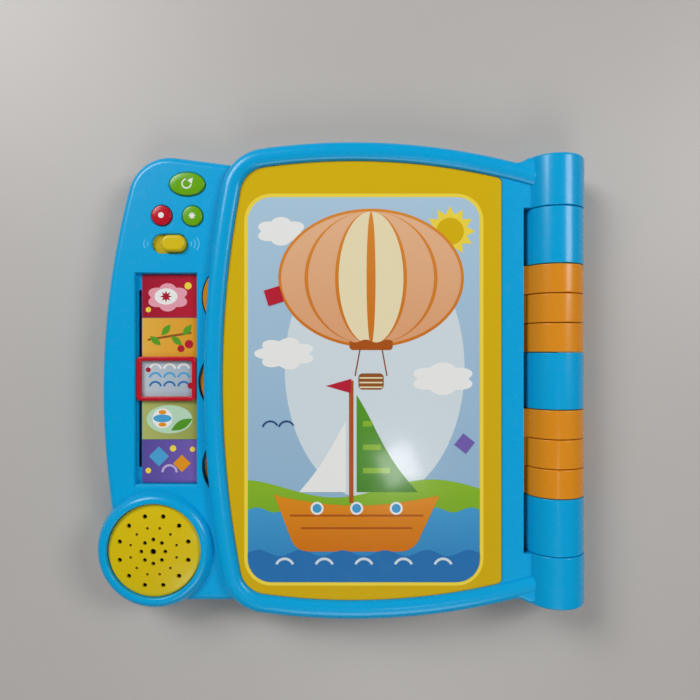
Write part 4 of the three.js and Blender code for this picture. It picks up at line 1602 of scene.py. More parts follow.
def band(
    centre: Point, radius: float, width: float, start: float, end: float, steps: int = 24,
) -> list[Point]:
    """A stretch of a ring.

    Args:
        centre: Centre of the ring.
        radius: Its middle radius.
        width: Its width.
        start: First angle in radians.
        end: Last angle in radians.
        steps: Number of stretches.
    """
    outer = arc(centre, radius + width / 2, start, end, steps)
    return outer + arc(centre, radius - width / 2, end, start, steps)


def leaf_shape(x: float, y: float, length: float, width: float, turn: float) -> list[Point]:
    """A pointed leaf.

    Args:
        x: Centre.
        y: Centre.
        length: Tip to tip.
        width: Across its middle.
        turn: Direction of its length, in radians.
    """
    upper = [(length * (i / 16 - 0.5), width / 2 * math.sin(math.pi * i / 16)) for i in range(17)]
    ring = upper + [(u, -v) for u, v in reversed(upper[1:-1])]
    return turned_about(x, y, ring, turn)


def wave_field(
    x: float, y: float, width: float, height: float, rise: float, waves: float, corner: float,
) -> list[Point]:
    """A field with a wavy upper edge and round lower corners.

    Args:
        x: Middle.
        y: Height of its foot.
        width: Its width.
        height: Middle height of its upper edge over its foot.
        rise: Height of the waves.
        waves: Number of waves.
        corner: Radius of the lower corners.
    """
    left, right = x - width / 2, x + width / 2
    crest = y + height
    top = [(right - width * i / 60, crest + rise * math.sin(FULL_TURN * waves * i / 60)) for i in range(61)]
    lower = arc((left + corner, y + corner), corner, math.pi, 1.5 * math.pi, 8)
    return top + lower + arc((right - corner, y + corner), corner, 1.5 * math.pi, FULL_TURN, 8)


def turned_box(x: float, y: float, width: float, height: float, turn: float) -> list[Point]:
    """A rectangle turned about its centre.

    Args:
        x: Centre.
        y: Centre.
        width: Its size along its own length.
        height: Its size across.
        turn: How far it is turned, in radians.
    """
    u, v = width / 2, height / 2
    return turned_about(x, y, [(u, v), (-u, v), (-u, -v), (u, -v)], turn)


# Inks of the cover, the strip and the pages
GOLD = PrintedInk("golden_yellow", 0xE2BC12, 0xDCB410)
SKY = PrintedInk("pale_sky", 0xB9D6EA, 0x8FB6D6)
MIST = PrintedInk("mist", 0xDCE8EE)
PEACH = PrintedInk("peach", 0xF4C49A, 0xE9A878, "Y", 20.0, 110.0)
APRICOT = PrintedInk("apricot", 0xE9963C, 0xD97A22, "Y", 20.0, 110.0)
ORANGE_INK = PrintedInk("boat_orange", 0xEE9A22, 0xD9781A, "Y", -95.0, -55.0)
RUST = PrintedInk("rust", 0xB55A1B)
BROWN = PrintedInk("basket_brown", 0x9A5B2A)
GRASS = PrintedInk("grass", 0x8FBF2F, 0x5E9A28, "Y", -110.0, -60.0)
LEAF_GREEN = PrintedInk("leaf_green", 0x5FA52B, 0x3F8024, "Y", -90.0, 0.0)
SEA = PrintedInk("sea_blue", 0x4FA9DC, 0x2F83C2, "Y", -110.0, -60.0)
DEEP_SEA = PrintedInk("deep_sea", 0x2E77B8)
WHITE_INK = PrintedInk("white", 0xF7F8F5)
SUN = PrintedInk("sun_yellow", 0xFBE04A)
CRIMSON = PrintedInk("crimson", 0xC4243A, 0xA91C33, "X", -112.0, -80.0)
PINK = PrintedInk("pink", 0xF2A7B6)
AMBER = PrintedInk("amber", 0xE8A22B, 0xF0B94A, "X", -112.0, -80.0)
STEEL_BLUE = PrintedInk("steel_blue", 0xA7B9C8, 0xC5D2DC, "X", -112.0, -80.0)
KHAKI = PrintedInk("khaki_green", 0x9DA653, 0xB7BE6E, "X", -112.0, -80.0)
PURPLE = PrintedInk("purple", 0x7A63B5, 0x5D4FA3, "X", -112.0, -80.0)
LILAC = PrintedInk("lilac", 0xC9B8E4)
MINT = PrintedInk("mint", 0xBFE3C4)
CREAM = PrintedInk("cream", 0xF6E8BE)
NAVY = PrintedInk("navy", 0x2B4A83)


@dataclass
class ModeStrip:
    """The printed strip in the panel's window: five fields of simple pictures."""

    left: float = -111.4
    right: float = -80.3
    low: float = -58.1
    high: float = 59.7
    base: float = 18.9
    top: float = 19.5
    pitch: float = 23.0
    middle: float = 0.8
    picture_layer: int = 6

    def _blossom(self, sheet: PrintSheet, x: float, y: float) -> None:
        """A pale cloud with a red sun."""
        sheet.paint(PINK, puff(x - 1, y, 12, 8, 6)).paint(WHITE_INK, ellipse(x - 2, y + 0.5, 6.5, 4.6))
        sheet.paint(CRIMSON, star_wheel(x - 2, y + 0.5, 3.4, 1.7, 8))
        sheet.paint(SUN, ellipse(x + 10.5, y + 6.5, 2.0, 2.0), ellipse(x - 12, y - 7, 1.5, 1.5))

    def _twig(self, sheet: PrintSheet, x: float, y: float) -> None:
        """A twig with leaves and berries."""
        sheet.paint(BROWN, turned_box(x, y + 1, 25, 1.2, 0.16))
        sides = [(-3, -0.7), (3, 0.9), (-3, -0.7), (3, 0.9)]
        leaves = [
            leaf_shape(x - 8 + 6 * i, y + 1.5 + rise, 8, 3.6, turn) for i, (rise, turn) in enumerate(sides)
        ]
        sheet.paint(LEAF_GREEN, *leaves)
        sheet.paint(CRIMSON, ellipse(x + 11, y - 3.5, 2.4, 2.4), ellipse(x + 6.5, y - 6, 2.0, 2.0))

    def _waves(self, sheet: PrintSheet, x: float, y: float) -> None:
        """Rows of waves with drops."""
        for row, ink in enumerate((DEEP_SEA, SEA, WHITE_INK)):
            centre_y = y - 5 + 5 * row
            arcs = [band((x - 8 + 8 * i, centre_y), 3.2, 1.1, 0.2, math.pi - 0.2, 12) for i in range(3)]
            sheet.paint(ink, *arcs)
        sheet.paint(CRIMSON, ellipse(x + 12, y - 4, 1.8, 1.8), ellipse(x - 12, y + 5, 1.4, 1.4))

    def _ball(self, sheet: PrintSheet, x: float, y: float) -> None:
        """A striped ball on a leaf."""
        sheet.paint(MINT, ellipse(x, y, 13, 8)).paint(LEAF_GREEN, leaf_shape(x + 7, y - 3, 14, 5, 0.5))
        sheet.paint(WHITE_INK, ellipse(x - 4, y + 0.5, 5.6, 5.6))
        sheet.paint(SEA, ellipse(x - 4, y + 0.5, 5.2, 2.2))
        sheet.paint(ORANGE_INK, ellipse(x - 4, y + 4.0, 2.2, 1.2), ellipse(x - 4, y - 3.0, 2.2, 1.2))

    def _kites(self, sheet: PrintSheet, x: float, y: float) -> None:
        """Two kites and dots."""
        kites = [turned_box(x - 6, y + 2, 8, 8, math.pi / 4), turned_box(x + 7, y - 2, 7, 7, math.pi / 4)]
        sheet.paint(SEA, kites[0]).paint(ORANGE_INK, kites[1])
        dots = ((2, 6.5, 1.8), (-12, -6, 1.6), (13, 6, 1.5))
        sheet.paint(SUN, *[ellipse(x + right, y + up, r, r) for right, up, r in dots])
        sheet.paint(LILAC, band((x, y - 7), 4.0, 1.2, 0.0, math.pi, 12))

    def build(self) -> bpy.types.Object:
        """Builds and dresses the strip."""
        width = self.right - self.left
        x = (self.right + self.left) / 2
        corner = (self.left, self.low, self.base)
        card = Solid.box("mode_strip_board", corner, (self.right, self.high, self.top))
        card.place(NAVY, "base", "printed_card", "mode_strip_card")
        sheet = PrintSheet("mode_strip_print", self.top)
        pictures = (self._blossom, self._twig, self._waves, self._ball, self._kites)
        centres = [self.middle + (2 - i) * self.pitch for i in range(5)]
        for ink, y in zip((CRIMSON, AMBER, STEEL_BLUE, KHAKI, PURPLE), centres):
            low = self.low if ink is PURPLE else y - self.pitch / 2
            high = self.high if ink is CRIMSON else y + self.pitch / 2
            sheet.paint(ink, rounded_box(x, (low + high) / 2, width - 0.1, high - low - 0.3, 0.2, 2))
        for picture, y in zip(pictures, centres):
            sheet.layer = self.picture_layer
            picture(sheet, x, y)
        return sheet.place("base")


@dataclass
class Selector:
    """The red frame that slides over the strip, with its stem and foot under the slot."""

    left: float = -113.9
    right: float = -80.3
    middle_y: float = 0.8
    length: float = 25.0
    border: float = 2.5
    low: float = 19.8
    height: float = 2.4
    soft: float = 0.9
    soft_low: float = 0.3
    corner: float = 2.4
    slot_x: float = -112.65
    stem: tuple[float, float] = (0.6, 21.0)
    foot: tuple[float, float] = (2.2, 17.1)
    foot_low: float = 16.0
    foot_half: float = 4.0

    def build(self) -> bpy.types.Object:
        """Builds and dresses the frame."""
        x, width = (self.left + self.right) / 2, self.right - self.left

        def outline(inset: float) -> list[Point]:
            """The frame's outline at an inset."""
            corner = self.corner - inset * 0.6
            return rounded_box(x, self.middle_y, width - 2 * inset, self.length - 2 * inset, corner, 8)

        def inside(grow: float) -> list[Point]:
            """The frame's opening, grown by a little."""
            opening_width = width - 2 * self.border + 2 * grow
            opening_length = self.length - 2 * self.border + 2 * grow
            return rounded_box(x, self.middle_y, opening_width, opening_length, 1.0 + grow, 8)

        high = self.low + self.height
        edges = round_under(self.soft_low, self.low, self.low + self.soft_low, 2)
        edges += round_over(self.soft, high - self.soft, high, 6)
        frame_ring = Solid.loft("mode_frame", outline, edges)
        opening = [(0.0, self.low - 1), *round_over(self.soft, high - self.soft, high, 5)]
        frame_ring.cut(Solid.loft("opening", inside, opening + [(self.soft + 0.05, high + 1)]))
        front, back = self.middle_y - self.foot_half, self.middle_y + self.foot_half
        for name, (half, top) in (("stem", self.stem), ("foot", self.foot)):
            corner = (self.slot_x - half, front, self.foot_low)
            frame_ring.join(Solid.box(name, corner, (self.slot_x + half, back, top)))
        return frame_ring.tidy().place(Plastic.RED, "mode", "red_plastic", "mode_selector")


@dataclass
class ButtonCaps:
    """The three push buttons with their printed marks."""

    flange_top: float = 20.2
    flange: float = 1.2
    rise: float = 1.6
    soft: float = 0.9
    stem_low: float = 17.4
    stem_radius: float = 2.4

    def _cap(self, button: Button) -> bpy.types.Object:
        """One button."""
        def outline(inset: float) -> list[Point]:
            """The cap's outline at an inset."""
            return ellipse(button.x, button.y, button.half_x - inset, button.half_y - inset, 72)

        def flange(inset: float) -> list[Point]:
            """The flange's outline."""
            return outline(inset - self.flange)

        top = STACK.panel + self.rise
        edge = top - 0.25
        low = self.flange_top - self.flange
        levels = [(0.0, low)] + round_over(self.soft, edge - self.soft, edge, 7)
        levels += [(self.soft + 1.0, edge + 0.12), (self.soft + 2.2, top - 0.02), (self.soft + 3.0, top)]
        cap = Solid.loft(f"{button.name}_cap", outline, levels)
        cap.join(Solid.loft("flange", flange, [(0.0, low), (0.0, self.flange_top)]))
        cap.join(disc("stem", self.stem_radius, self.stem_low, low + 0.6, button.x, button.y))
        return cap.tidy(28).place(button.plastic, button.name, button.slot, f"{button.name}_button")

    def _mark(self, button: Button, fields: Sequence[Sequence[Point]]) -> None:
        """The white mark on a button."""
        sheet = PrintSheet(f"{button.name}_mark", STACK.panel + self.rise - PRINT_SINK)
        sheet.paint(WHITE_INK, *fields).place(button.name)

    def build(self) -> None:
        """Builds and dresses the three buttons."""
        repeat, off, on = BUTTONS
        for button in BUTTONS:
            self._cap(button)
        tip = (repeat.x + 2.0, repeat.y + 1.4)
        arrow = [(tip[0] - 1.7, tip[1] + 0.4), (tip[0] + 1.5, tip[1] + 1.9), (tip[0] + 1.0, tip[1] - 1.5)]
        ring = band((repeat.x, repeat.y), 2.5, 0.75, math.radians(100), math.radians(355))
        self._mark(repeat, [ring, arrow])
        self._mark(off, [ellipse(off.x, off.y, 1.6, 1.6, 32)])
        self._mark(on, [star_wheel(on.x, on.y, 2.3, 1.1, 8)])


@dataclass
class VolumeSlide:
    """The yellow volume slide with its skirt, and the sound marks beside it."""

    x: float = -92.4
    y: float = 76.6
    length: float = 14.0
    width: float = 9.6
    rise: float = 3.0
    soft: float = 2.0
    skirt_top: float = 20.2
    skirt: float = 1.2
    skirt_half_x: float = 18.7
    skirt_half_y: float = 6.6
    stem_half: float = 2.0
    stem_low: float = 17.3
    mark_x: float = -95.0

    def build(self) -> None:
        """Builds and dresses the slide and the marks."""
        def outline(inset: float) -> list[Point]:
            """The nub's outline at an inset."""
            length, width = self.length - 2 * inset, self.width - 2 * inset
            return rounded_box(self.x, self.y, length, width, width / 2.1, 10)

        low, top = self.skirt_top - self.skirt, STACK.panel + self.rise
        nub = Solid.loft("volume_nub", outline, [(0.0, low)] + round_over(self.soft, top - self.soft, top, 9))
        for name, half_x, half_y, foot, head in (
            ("skirt", self.skirt_half_x, self.skirt_half_y, low, self.skirt_top),
            ("stem", self.stem_half, self.stem_half, self.stem_low, low + 0.4),
        ):
            corner = (self.x - half_x, self.y - half_y, foot)
            nub.join(Solid.box(name, corner, (self.x + half_x, self.y + half_y, head)))
        nub.tidy().place(Plastic.YELLOW, "volume", "yellow_plastic", "volume_knob")
        marks = PrintSheet("volume_marks", STACK.panel - PRINT_SINK)
        fields = []
        for side in (-1, 1):
            facing = math.pi if side < 0 else 0.0
            for i in range(2 + (side > 0)):
                centre = (self.mark_x + side * (10.6 + 0.4 * i), self.y)
                fields.append(band(centre, 1.8 + 1.7 * i, 0.55, facing - 0.75, facing + 0.75, 10))
        marks.paint(PrintedInk("pale_blue_marks", 0x6FCBF5), *fields).place("base")


# Hinge


@dataclass
class HingeRod:
    """The steel rod through the barrel, and the cover's plug over each of its ends."""

    radius: float = 2.5
    soft: float = 0.5
    bevel: float = 0.15

    def build(self) -> None:
        """Builds and dresses the rod and the plugs."""
        end = BARREL.length / 2 - BARREL.plug_depth - STACK.gap
        profile = [(0.0, -end), *from_axis(self.radius, round_both(self.soft, -end, end)), (0.0, end)]
        rod = Solid.turned("hinge_pin", profile, (BARREL.x, 0.0, BARREL.z), 48, "Y")
        rod.tidy().place(Steel(), "base", "steel", "hinge_rod")
        for number, side in ((1, -1), (2, 1)):
            outer = side * BARREL.length / 2
            inner = outer - side * BARREL.plug_depth
            radius, soft, bevel = BARREL.plug_radius, self.soft, self.bevel
            profile = [(0.0, inner), (radius, inner), (radius, outer - side * soft)]
            profile += [(radius - bevel, outer - side * bevel), (radius - soft, outer), (0.0, outer)]
            plug = Solid.turned(f"end_plug_{number}", profile, (BARREL.x, 0.0, BARREL.z), 64, "Y")
            plug.tidy().place(Plastic.BLUE, "cover", "blue_plastic", f"hinge_end_plug_{number}")


# Cover


@dataclass
class CoverShell:
    """The blue cover: a rounded rim round the picture, a flat strip and the two end knuckles."""

    rim_right: float = 112.8
    rim_corner: float = 5.6
    rim_width: float = 10.4
    ledge: float = 0.15
    round_width: float = 5.0
    round_start: float = 24.4
    rim_top: float = 28.5
    strip_top: float = 26.0
    strip_right: float = 102.7
    art_floor: float = 24.9
    art_right: float = 90.8
    art_corner: float = 3.5
    liner_inset: float = 1.8
    liner_top: float = 23.8
    liner_right: float = 99.7
    fillet_left: float = 98.0
    fillet_right: float = 105.5
    fillet_top: float = 27.9
    fillet_soft: float = 3.2
    fillet_end: float = 0.6
    fillet_lift: float = 0.12
    under_soft: float = 0.4
    knuckle_gap: float = 0.2
    knuckle_soft: float = 0.5
    end_soft: float = 1.6
    trim_right: float = 130.0
    trim_low: float = 20.0
    trim_high: float = 40.0

    def _rim(self) -> Solid:
        """The outside of the cover with its rounded rim."""
        levels = round_under(self.under_soft, STACK.cover, STACK.cover + self.under_soft, 3)
        levels += round_over(self.round_width, self.round_start, self.rim_top, 12)

        def outline(inset: float) -> list[Point]:
            """The cover's outline at an inset."""
            corner = max(self.rim_corner - inset, 0.4)
            return BOOK.outline(inset, self.rim_right - inset, corner)

        return Solid.loft("cover_shell", outline, levels)

    def _valley(self) -> Solid:
        """What is taken out inside the rim, down to the strip: the rim's inner slope."""
        steps = 10
        reach = self.rim_width - self.round_width
        rise = self.rim_top - self.strip_top
        levels = []
        for turn in [math.pi / 2 * i / steps for i in range(steps + 1)]:
            height = self.strip_top + rise * math.sin(turn) + 0.01
            levels.append((self.round_width + reach * math.cos(turn), height))
        levels.append((self.round_width, self.rim_top + 2))
        return Solid.loft("valley", lambda inset: BOOK.outline(inset, self.rim_right + 40), levels)

    def _recess(self) -> Solid:
        """The picture's recess with a small bevel along its upper edge."""
        def outline(grow: float) -> list[Point]:
            """The recess grown at the strip's face."""
            return BOOK.outline(self.rim_width + self.ledge, self.art_right + grow, self.art_corner + grow)

        return Solid.loft("recess", outline, bevelled(self.art_floor, self.strip_top, 0.45, 0.5, 3))

    def _fillet(self, side: int, outer: float) -> Solid:
        """The web that blends the rim's end into an end knuckle.

        Args:
            side: 1 at the head, -1 at the tail.
            outer: Distance of the knuckle's outer end from the middle.
        """
        start, end = self.fillet_left, self.fillet_right
        foot = BOOK.head_edge_at(start) - 0.4
        low, right, soft = foot - 9, self.rim_right + 2, self.fillet_soft

        def outline(inset: float) -> list[Point]:
            """The web's outline at an inset."""
            curve = []
            for share in [i / 12 for i in range(13)]:
                height = foot + (outer - self.fillet_end - foot) * share**2
                curve.append((start + (end - start) * share, side * (height - inset)))
            return [(start, side * low), *curve, (right, curve[-1][1]), (right, side * low)]

        under = STACK.cover + self.fillet_lift
        levels = round_under(self.under_soft, under, under + self.under_soft, 3)
        levels += round_over(soft, self.fillet_top - soft, self.fillet_top, 8)
        return Solid.loft("web", outline, levels)

    def build(self) -> bpy.types.Object:
        """Builds and dresses the shell."""
        shell = self._rim().cut(self._valley())
        half = BARREL.span("head")[0] + self.knuckle_gap
        corner = (self.strip_right, -half, self.trim_low)
        shell.cut(Solid.box("trim", corner, (self.trim_right, half, self.trim_high)), self._recess())
        edges = (self.end_soft, self.knuckle_soft)
        for name, side, soft in (("tail", -1, edges), ("head", 1, edges[::-1])):
            end = BARREL.span(name)[0 if side < 0 else 1]
            shell.join(self._fillet(side, abs(end)), BARREL.knuckle(name, BARREL.end_radius, *soft))
        room = book_plate("liner room", self.liner_inset, self.liner_right, STACK.cover - 1, self.liner_top)
        shell.cut(room)
        return shell.tidy(30).place(Plastic.BLUE, "cover", "blue_plastic", "cover_outer_shell")


@dataclass
class CoverArt:
    """The picture on the cover: a striped balloon over a bay with a sailing boat."""

    low: float = 24.9
    top: float = 25.5
    inset: float = 10.7
    right: float = 90.5
    corner: float = 3.2
    field_x: float = 14.0
    field_y: float = -5.0
    field_width: float = 129.0
    field_height: float = 214.0

    def _balloon(self, sheet: PrintSheet, x: float, y: float) -> None:
        """The balloon: an envelope of gores, its skirt, ropes and basket."""
        half_x, half_y = 50.0, 37.0
        sheet.paint(APRICOT, ellipse(x, y, half_x + 1.6, half_y + 1.6, 96))
        gores = ((1.0, PEACH), (0.74, APRICOT), (0.7, PEACH), (0.4, APRICOT), (0.36, CREAM), (0.05, APRICOT))
        for share, ink in gores:
            sheet.paint(ink, ellipse(x, y, half_x * share, half_y, 96))
        sheet.paint(RUST, wave_field(x, y - half_y - 3.0, 24.0, 5.0, 0.8, 2.0, 2.0))
        foot = y - half_y
        ropes = [
            turned_box(x + side * 7.5, foot - 10.0, 15.0, 0.7, math.pi / 2 + side * 0.18) for side in (-1, 1)
        ]
        sheet.paint(BROWN, *ropes)
        sheet.paint(BROWN, rounded_box(x, foot - 20.5, 14.0, 9.0, 2.2))
        sheet.paint(CREAM, *[rounded_box(x, foot - 18.5 - 2.6 * i, 13.0, 0.8, 0.35, 2) for i in range(3)])

    def _boat(self, sheet: PrintSheet, x: float, y: float) -> None:
        """The boat: hull with planks and portholes, mast, two sails and a pennant."""
        deck, keel = y + 15.0, y - 12.0
        hull = [(x + 46, deck + 4)]
        for i in range(1, 24):
            hull.append((x + 46 - 92 * i / 24, deck + 4 - 5.5 * math.sin(math.pi * i / 24)))
        hull += [(x - 46, deck + 5)] + arc((x - 27, keel + 10), 10.0, math.radians(200), math.radians(270), 8)
        hull += arc((x + 24, keel + 12), 12.0, math.radians(270), math.radians(345), 8)
        sheet.paint(RUST, turned_box(x - 3, deck + 34, 68, 2.4, math.pi / 2))
        main_sail, fore_sail = [(x, deck + 6)], [(x - 6, deck + 6)]
        for i in range(13):
            belly = math.sin(math.pi * i / 12)
            main_sail.append((x + 34 - 5 * belly * (1 - i / 12) - 34 * i / 12, deck + 6 + 54 * i / 12))
            fore_sail.append((x - 6 - 26 * i / 12, deck + 46 - 40 * i / 12 - 3 * belly))
        sheet.paint(LEAF_GREEN, main_sail).paint(WHITE_INK, fore_sail)
        bars = [turned_box(x + 11 - 2.5 * i, deck + 18 + 13 * i, 15 - 5 * i, 3.0, 0.0) for i in range(3)]
        sheet.paint(GRASS, *bars)
        sheet.paint(CRIMSON, [(x - 3, deck + 69), (x - 3, deck + 61), (x - 17, deck + 65)])
        sheet.paint(ORANGE_INK, hull)
        planks = [turned_box(x, deck - 7.0 - 7 * i, 74 - 12 * i, 1.1, 0.0) for i in range(2)]
        sheet.paint(RUST, *planks)
        for ink, radius in ((WHITE_INK, 3.6), (SEA, 2.5)):
            sheet.paint(ink, *[ellipse(x - 22 + 22 * i, deck - 3.0, radius, radius) for i in range(3)])

    def build(self) -> bpy.types.Object:
        """Builds and dresses the picture."""
        shape = BOOK.outline(self.inset, self.right, self.corner)
        plate = Solid.prism("art_board", shape, self.low, self.top)
        plate.place(GOLD, "cover", "printed_card", "cover_art_panel")
        sheet = PrintSheet("cover_print", self.top)
        x, y, width, height = self.field_x, self.field_y, self.field_width, self.field_height
        sheet.paint(SUN, rounded_box(x, y, width + 4, height + 4, 15, 10))
        sheet.paint(SKY, rounded_box(x, y, width, height, 13, 10))
        sheet.paint(MIST, ellipse(x + 6, y + 12, 50, 74, 72))
        clouds = ((-44, 20, 17, 9, 7), (44, 6, 18, 9, 6), (-46, 88, 14, 8, 6))
        sheet.paint(WHITE_INK, *[puff(x + right, y + up, *shape) for right, up, *shape in clouds])
        sheet.paint(SUN, star_wheel(x + 48, y + 88, 14, 9.5, 12))
        sheet.paint(GOLD, ellipse(x + 48, y + 88, 7.6, 7.6))
        foot = y - height / 2
        sheet.paint(GRASS, wave_field(x, foot, width, 52.0, 5.0, 1.2, 13.0))
        sheet.paint(SEA, wave_field(x, foot, width, 40.0, 1.4, 6.5, 13.0))
        self._balloon(sheet, x + 4, y + 62)
        self._boat(sheet, x - 4, y - 78)
        sheet.paint(DEEP_SEA, wave_field(x, foot, width, 16.0, 1.8, 5.5, 13.0))
        crests = [band((x - 44 + 22 * i, foot + 8), 5.0, 1.4, 0.4, math.pi - 0.4, 12) for i in range(5)]
        sheet.paint(MIST, *crests)
        gulls = [band((x - 52 + 9 * i, y - 22), 4.4, 0.9, 0.5, math.pi - 0.3, 10) for i in range(2)]
        sheet.paint(NAVY, *gulls)
        blocks = [turned_box(x - 50, y + 52, 9, 9, 0.3), turned_box(x + 56, y - 30, 8, 8, 0.9)]
        sheet.paint(CRIMSON, blocks[0]).paint(PURPLE, blocks[1])
        return sheet.place("cover")


class Motif(Enum):
    """Simple pictures for the pages."""

    SUN = "sun"
    BALL = "ball"
    LEAF = "leaf"
    KITE = "kite"
    ARCH = "arch"
    CLOUD = "cloud"

    def outlines(self, x: float, y: float) -> tuple[list[Point], list[Point]]:
        """The outer and the inner field of the picture.

        Args:
            x: Centre.
            y: Centre.
        """
        return {
            Motif.SUN: (star_wheel(x, y, 13, 9, 12), ellipse(x, y, 6.5, 6.5)),
            Motif.BALL: (ellipse(x, y, 11.5, 11.5), ellipse(x, y, 11.5, 4.2)),
            Motif.LEAF: (leaf_shape(x, y, 28, 13, 0.7), leaf_shape(x, y, 26, 1.4, 0.7)),
            Motif.KITE: (turned_box(x, y, 18, 18, math.pi / 4), turned_box(x, y, 8, 8, math.pi / 4)),
            Motif.ARCH: (band((x, y - 6), 11, 5, 0.0, math.pi), band((x, y - 6), 5, 3.4, 0.0, math.pi)),
            Motif.CLOUD: (puff(x, y, 15, 9), ellipse(x - 2, y + 1, 6, 3)),
        }[self]


@dataclass
class PageCard:
    """One printed page: a pale field, six tiles with a picture each, and a ruled foot."""

    name: str
    node: str
    body: str
    face: float
    facing_up: bool
    ground: PrintedInk
    shift: int
    columns: tuple[float, ...] = (-28.0, 48.0)
    rows: tuple[float, ...] = (72.0, 14.0, -44.0)
    picture_layer: int = 4

    def build(self) -> bpy.types.Object:
        """Builds and dresses the page."""
        low = self.face - STACK.card if self.facing_up else self.face
        board = Solid.prism(f"{self.name}_board", card_outline(), low, low + STACK.card)
        board.place(self.ground, self.body, "printed_card", self.node)
        sheet = PrintSheet(f"{self.name}_print", self.face, self.facing_up)
        for ink, inset, corner in ((WHITE_INK, 6, 8), (self.ground, 7.4, 7)):
            sheet.paint(ink, BOOK.outline(STACK.card_inset + inset, STACK.card_right - inset, corner))
        motifs = list(Motif)
        tiles, outer, inner = [], [], []
        for i, (x, y) in enumerate((x, y) for y in self.rows for x in self.columns):
            tiles.append(rounded_box(x, y, 52, 46, 9, 8))
            first, second = motifs[(i + self.shift) % len(motifs)].outlines(x, y)
            outer.append(first)
            inner.append(second)
        sheet.paint(WHITE_INK, *tiles)
        inks = (CRIMSON, SEA, LEAF_GREEN, ORANGE_INK, PURPLE, STEEL_BLUE)
        for i, (first, second) in enumerate(zip(outer, inner)):
            sheet.layer = self.picture_layer
            sheet.paint(inks[(i + self.shift) % len(inks)], first).paint(SUN, second)
        lines = [rounded_box(10, -88 - 6 * i, 120 - 18 * i, 2.2, 1.0, 3) for i in range(3)]
        sheet.layer = self.picture_layer
        return sheet.paint(NAVY, *lines).place(self.body)


@dataclass
class CoverLining:
    """The plate under the cover with its four screws and its printed page."""

    inset: float = 2.1
    right: float = 99.4
    top: float = 23.8
    screw_x: float = 80.0
    screw_y: float = 98.0
    rim_half: float = 5.2
    head: float = 0.6
    length: float = 2.8
    hole: float = 1.3

    def _spots(self) -> list[Point]:
        """Where the screws are."""
        spots = []
        for side in (-1, 1):
            spots.append((BOOK.fore_edge_at(self.screw_y) + self.rim_half, side * self.screw_y))
            spots.append((self.screw_x, side * (BOOK.head_edge_at(self.screw_x) - self.rim_half)))
        return spots

    def build(self) -> None:
        """Builds and dresses the plate, the screws and the page."""
        liner = book_plate("cover_lining", self.inset, self.right, STACK.cover, self.top, 0.2)
        low = STACK.cover - 1
        liner.cut(card_room(low, STACK.cover + STACK.card))
        for x, y in self._spots():
            liner.cut(
                disc("sink", SCREW_SINK, low, STACK.cover + self.head, x, y),
                disc("hole", self.hole, low, self.top + 1, x, y),
            )
        liner.tidy().place(Plastic.BLUE, "cover", "blue_plastic", "cover_inner_liner")
        for i, (x, y) in enumerate(self._spots(), 1):
            seat = STACK.cover + self.head
            Screw(f"cover_screw_{i}", x, y, seat, 1.0, 2.1, self.head, self.length, "cover").build()
        PageCard("cover_page", "cover_inner_card", "cover", STACK.cover, False, CREAM, 0).build()


@dataclass
class Leaf:
    """One stiff orange page with its thumb tab, its two rings and a printed card on each face."""

    number: int
    upper: PrintedInk
    lower: PrintedInk
    inset: float = 4.5
    right: float = 101.0
    soft: float = 0.45
    ring_soft: float = 0.6

    def build(self) -> None:
        """Builds and dresses the leaf."""
        low = STACK.cover - self.number * STACK.leaf_pitch
        high = low + STACK.leaf
        body = f"leaf_{self.number}"
        leaf = book_plate(f"page_{self.number}", self.inset, self.right, low, high, self.soft)
        x, y = TABS.centre(self.number)
        profile = [(0.0, low), *from_axis(TABS.radius, round_both(self.soft, low, high, 4)), (0.0, high)]
        leaf.join(Solid.turned("tab", profile, (x, y, 0.0), 128))
        for half in "ab":
            ring = f"ring_{self.number}_{half}"
            start, end = BARREL.span(ring)
            arm = Solid.box("arm", (self.right - 2, start, low), (BARREL.reach, end, high))
            leaf.join(arm, BARREL.knuckle(ring, BARREL.radius, self.ring_soft, self.ring_soft))
        leaf.cut(card_room(low - 1, low + STACK.card), card_room(high - STACK.card, high + 1))
        leaf.tidy().place(Plastic.ORANGE, body, "orange_plastic", f"leaf_frame_{self.number}")
        for side, face, ground, shift in (("upper", high, self.upper, 0), ("lower", low, self.lower, 3)):
            node = f"leaf_{side}_card_{self.number}"
            facing_up = side == "upper"
            PageCard(f"{body}_{side}", node, body, face, facing_up, ground, self.number + shift).build()


# What lies inside


@dataclass
class InnerParts:
    """The pieces inside the base, which keep the frame's own meshes and get their finishes here."""

    board: CircuitBoard = CircuitBoard()
    sleeve: CellSleeve = CellSleeve()
    film: TouchFilm = TouchFilm()
    steel: Steel = Steel()
    pad: SoftGrip = SoftGrip("dome_silicone", 0xB9BDC2)
    steel_nodes: tuple[str, ...] = (
        "battery_spring", "battery_contact", "battery_door_screw", "circuit_board_screw",
    )

    def _finish(self, name: str) -> object:
        """The finish of one node."""
        if name.startswith(self.steel_nodes):
            return self.steel
        if name.startswith("battery_cell"):
            return self.sleeve
        return {
            "main_circuit_board": self.board,
            "touch_sheet": self.film,
            "button_dome_pad": self.pad,
            "speaker_driver": Plastic.GREY,
            "volume_switch_body": Plastic.GREY,
        }[name]

    def dress(self, replaced: set[str]) -> None:
        """Gives each node that no visual piece stands for its finish.

        Args:
            replaced: The nodes that visual pieces stand for.
        """
        for name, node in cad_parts.items():
            if name not in replaced:
                node.data.materials.clear()
                node.data.materials.append(dress(self._finish(name)))
                LOG.info("%s keeps the frame's mesh", name)


# Studio


@dataclass(frozen=True)
class SoftBox:
    """One square lamp, turned to the frame's origin."""

    name: str
    x: float
    y: float
    z: float
    size: float
    watts: float


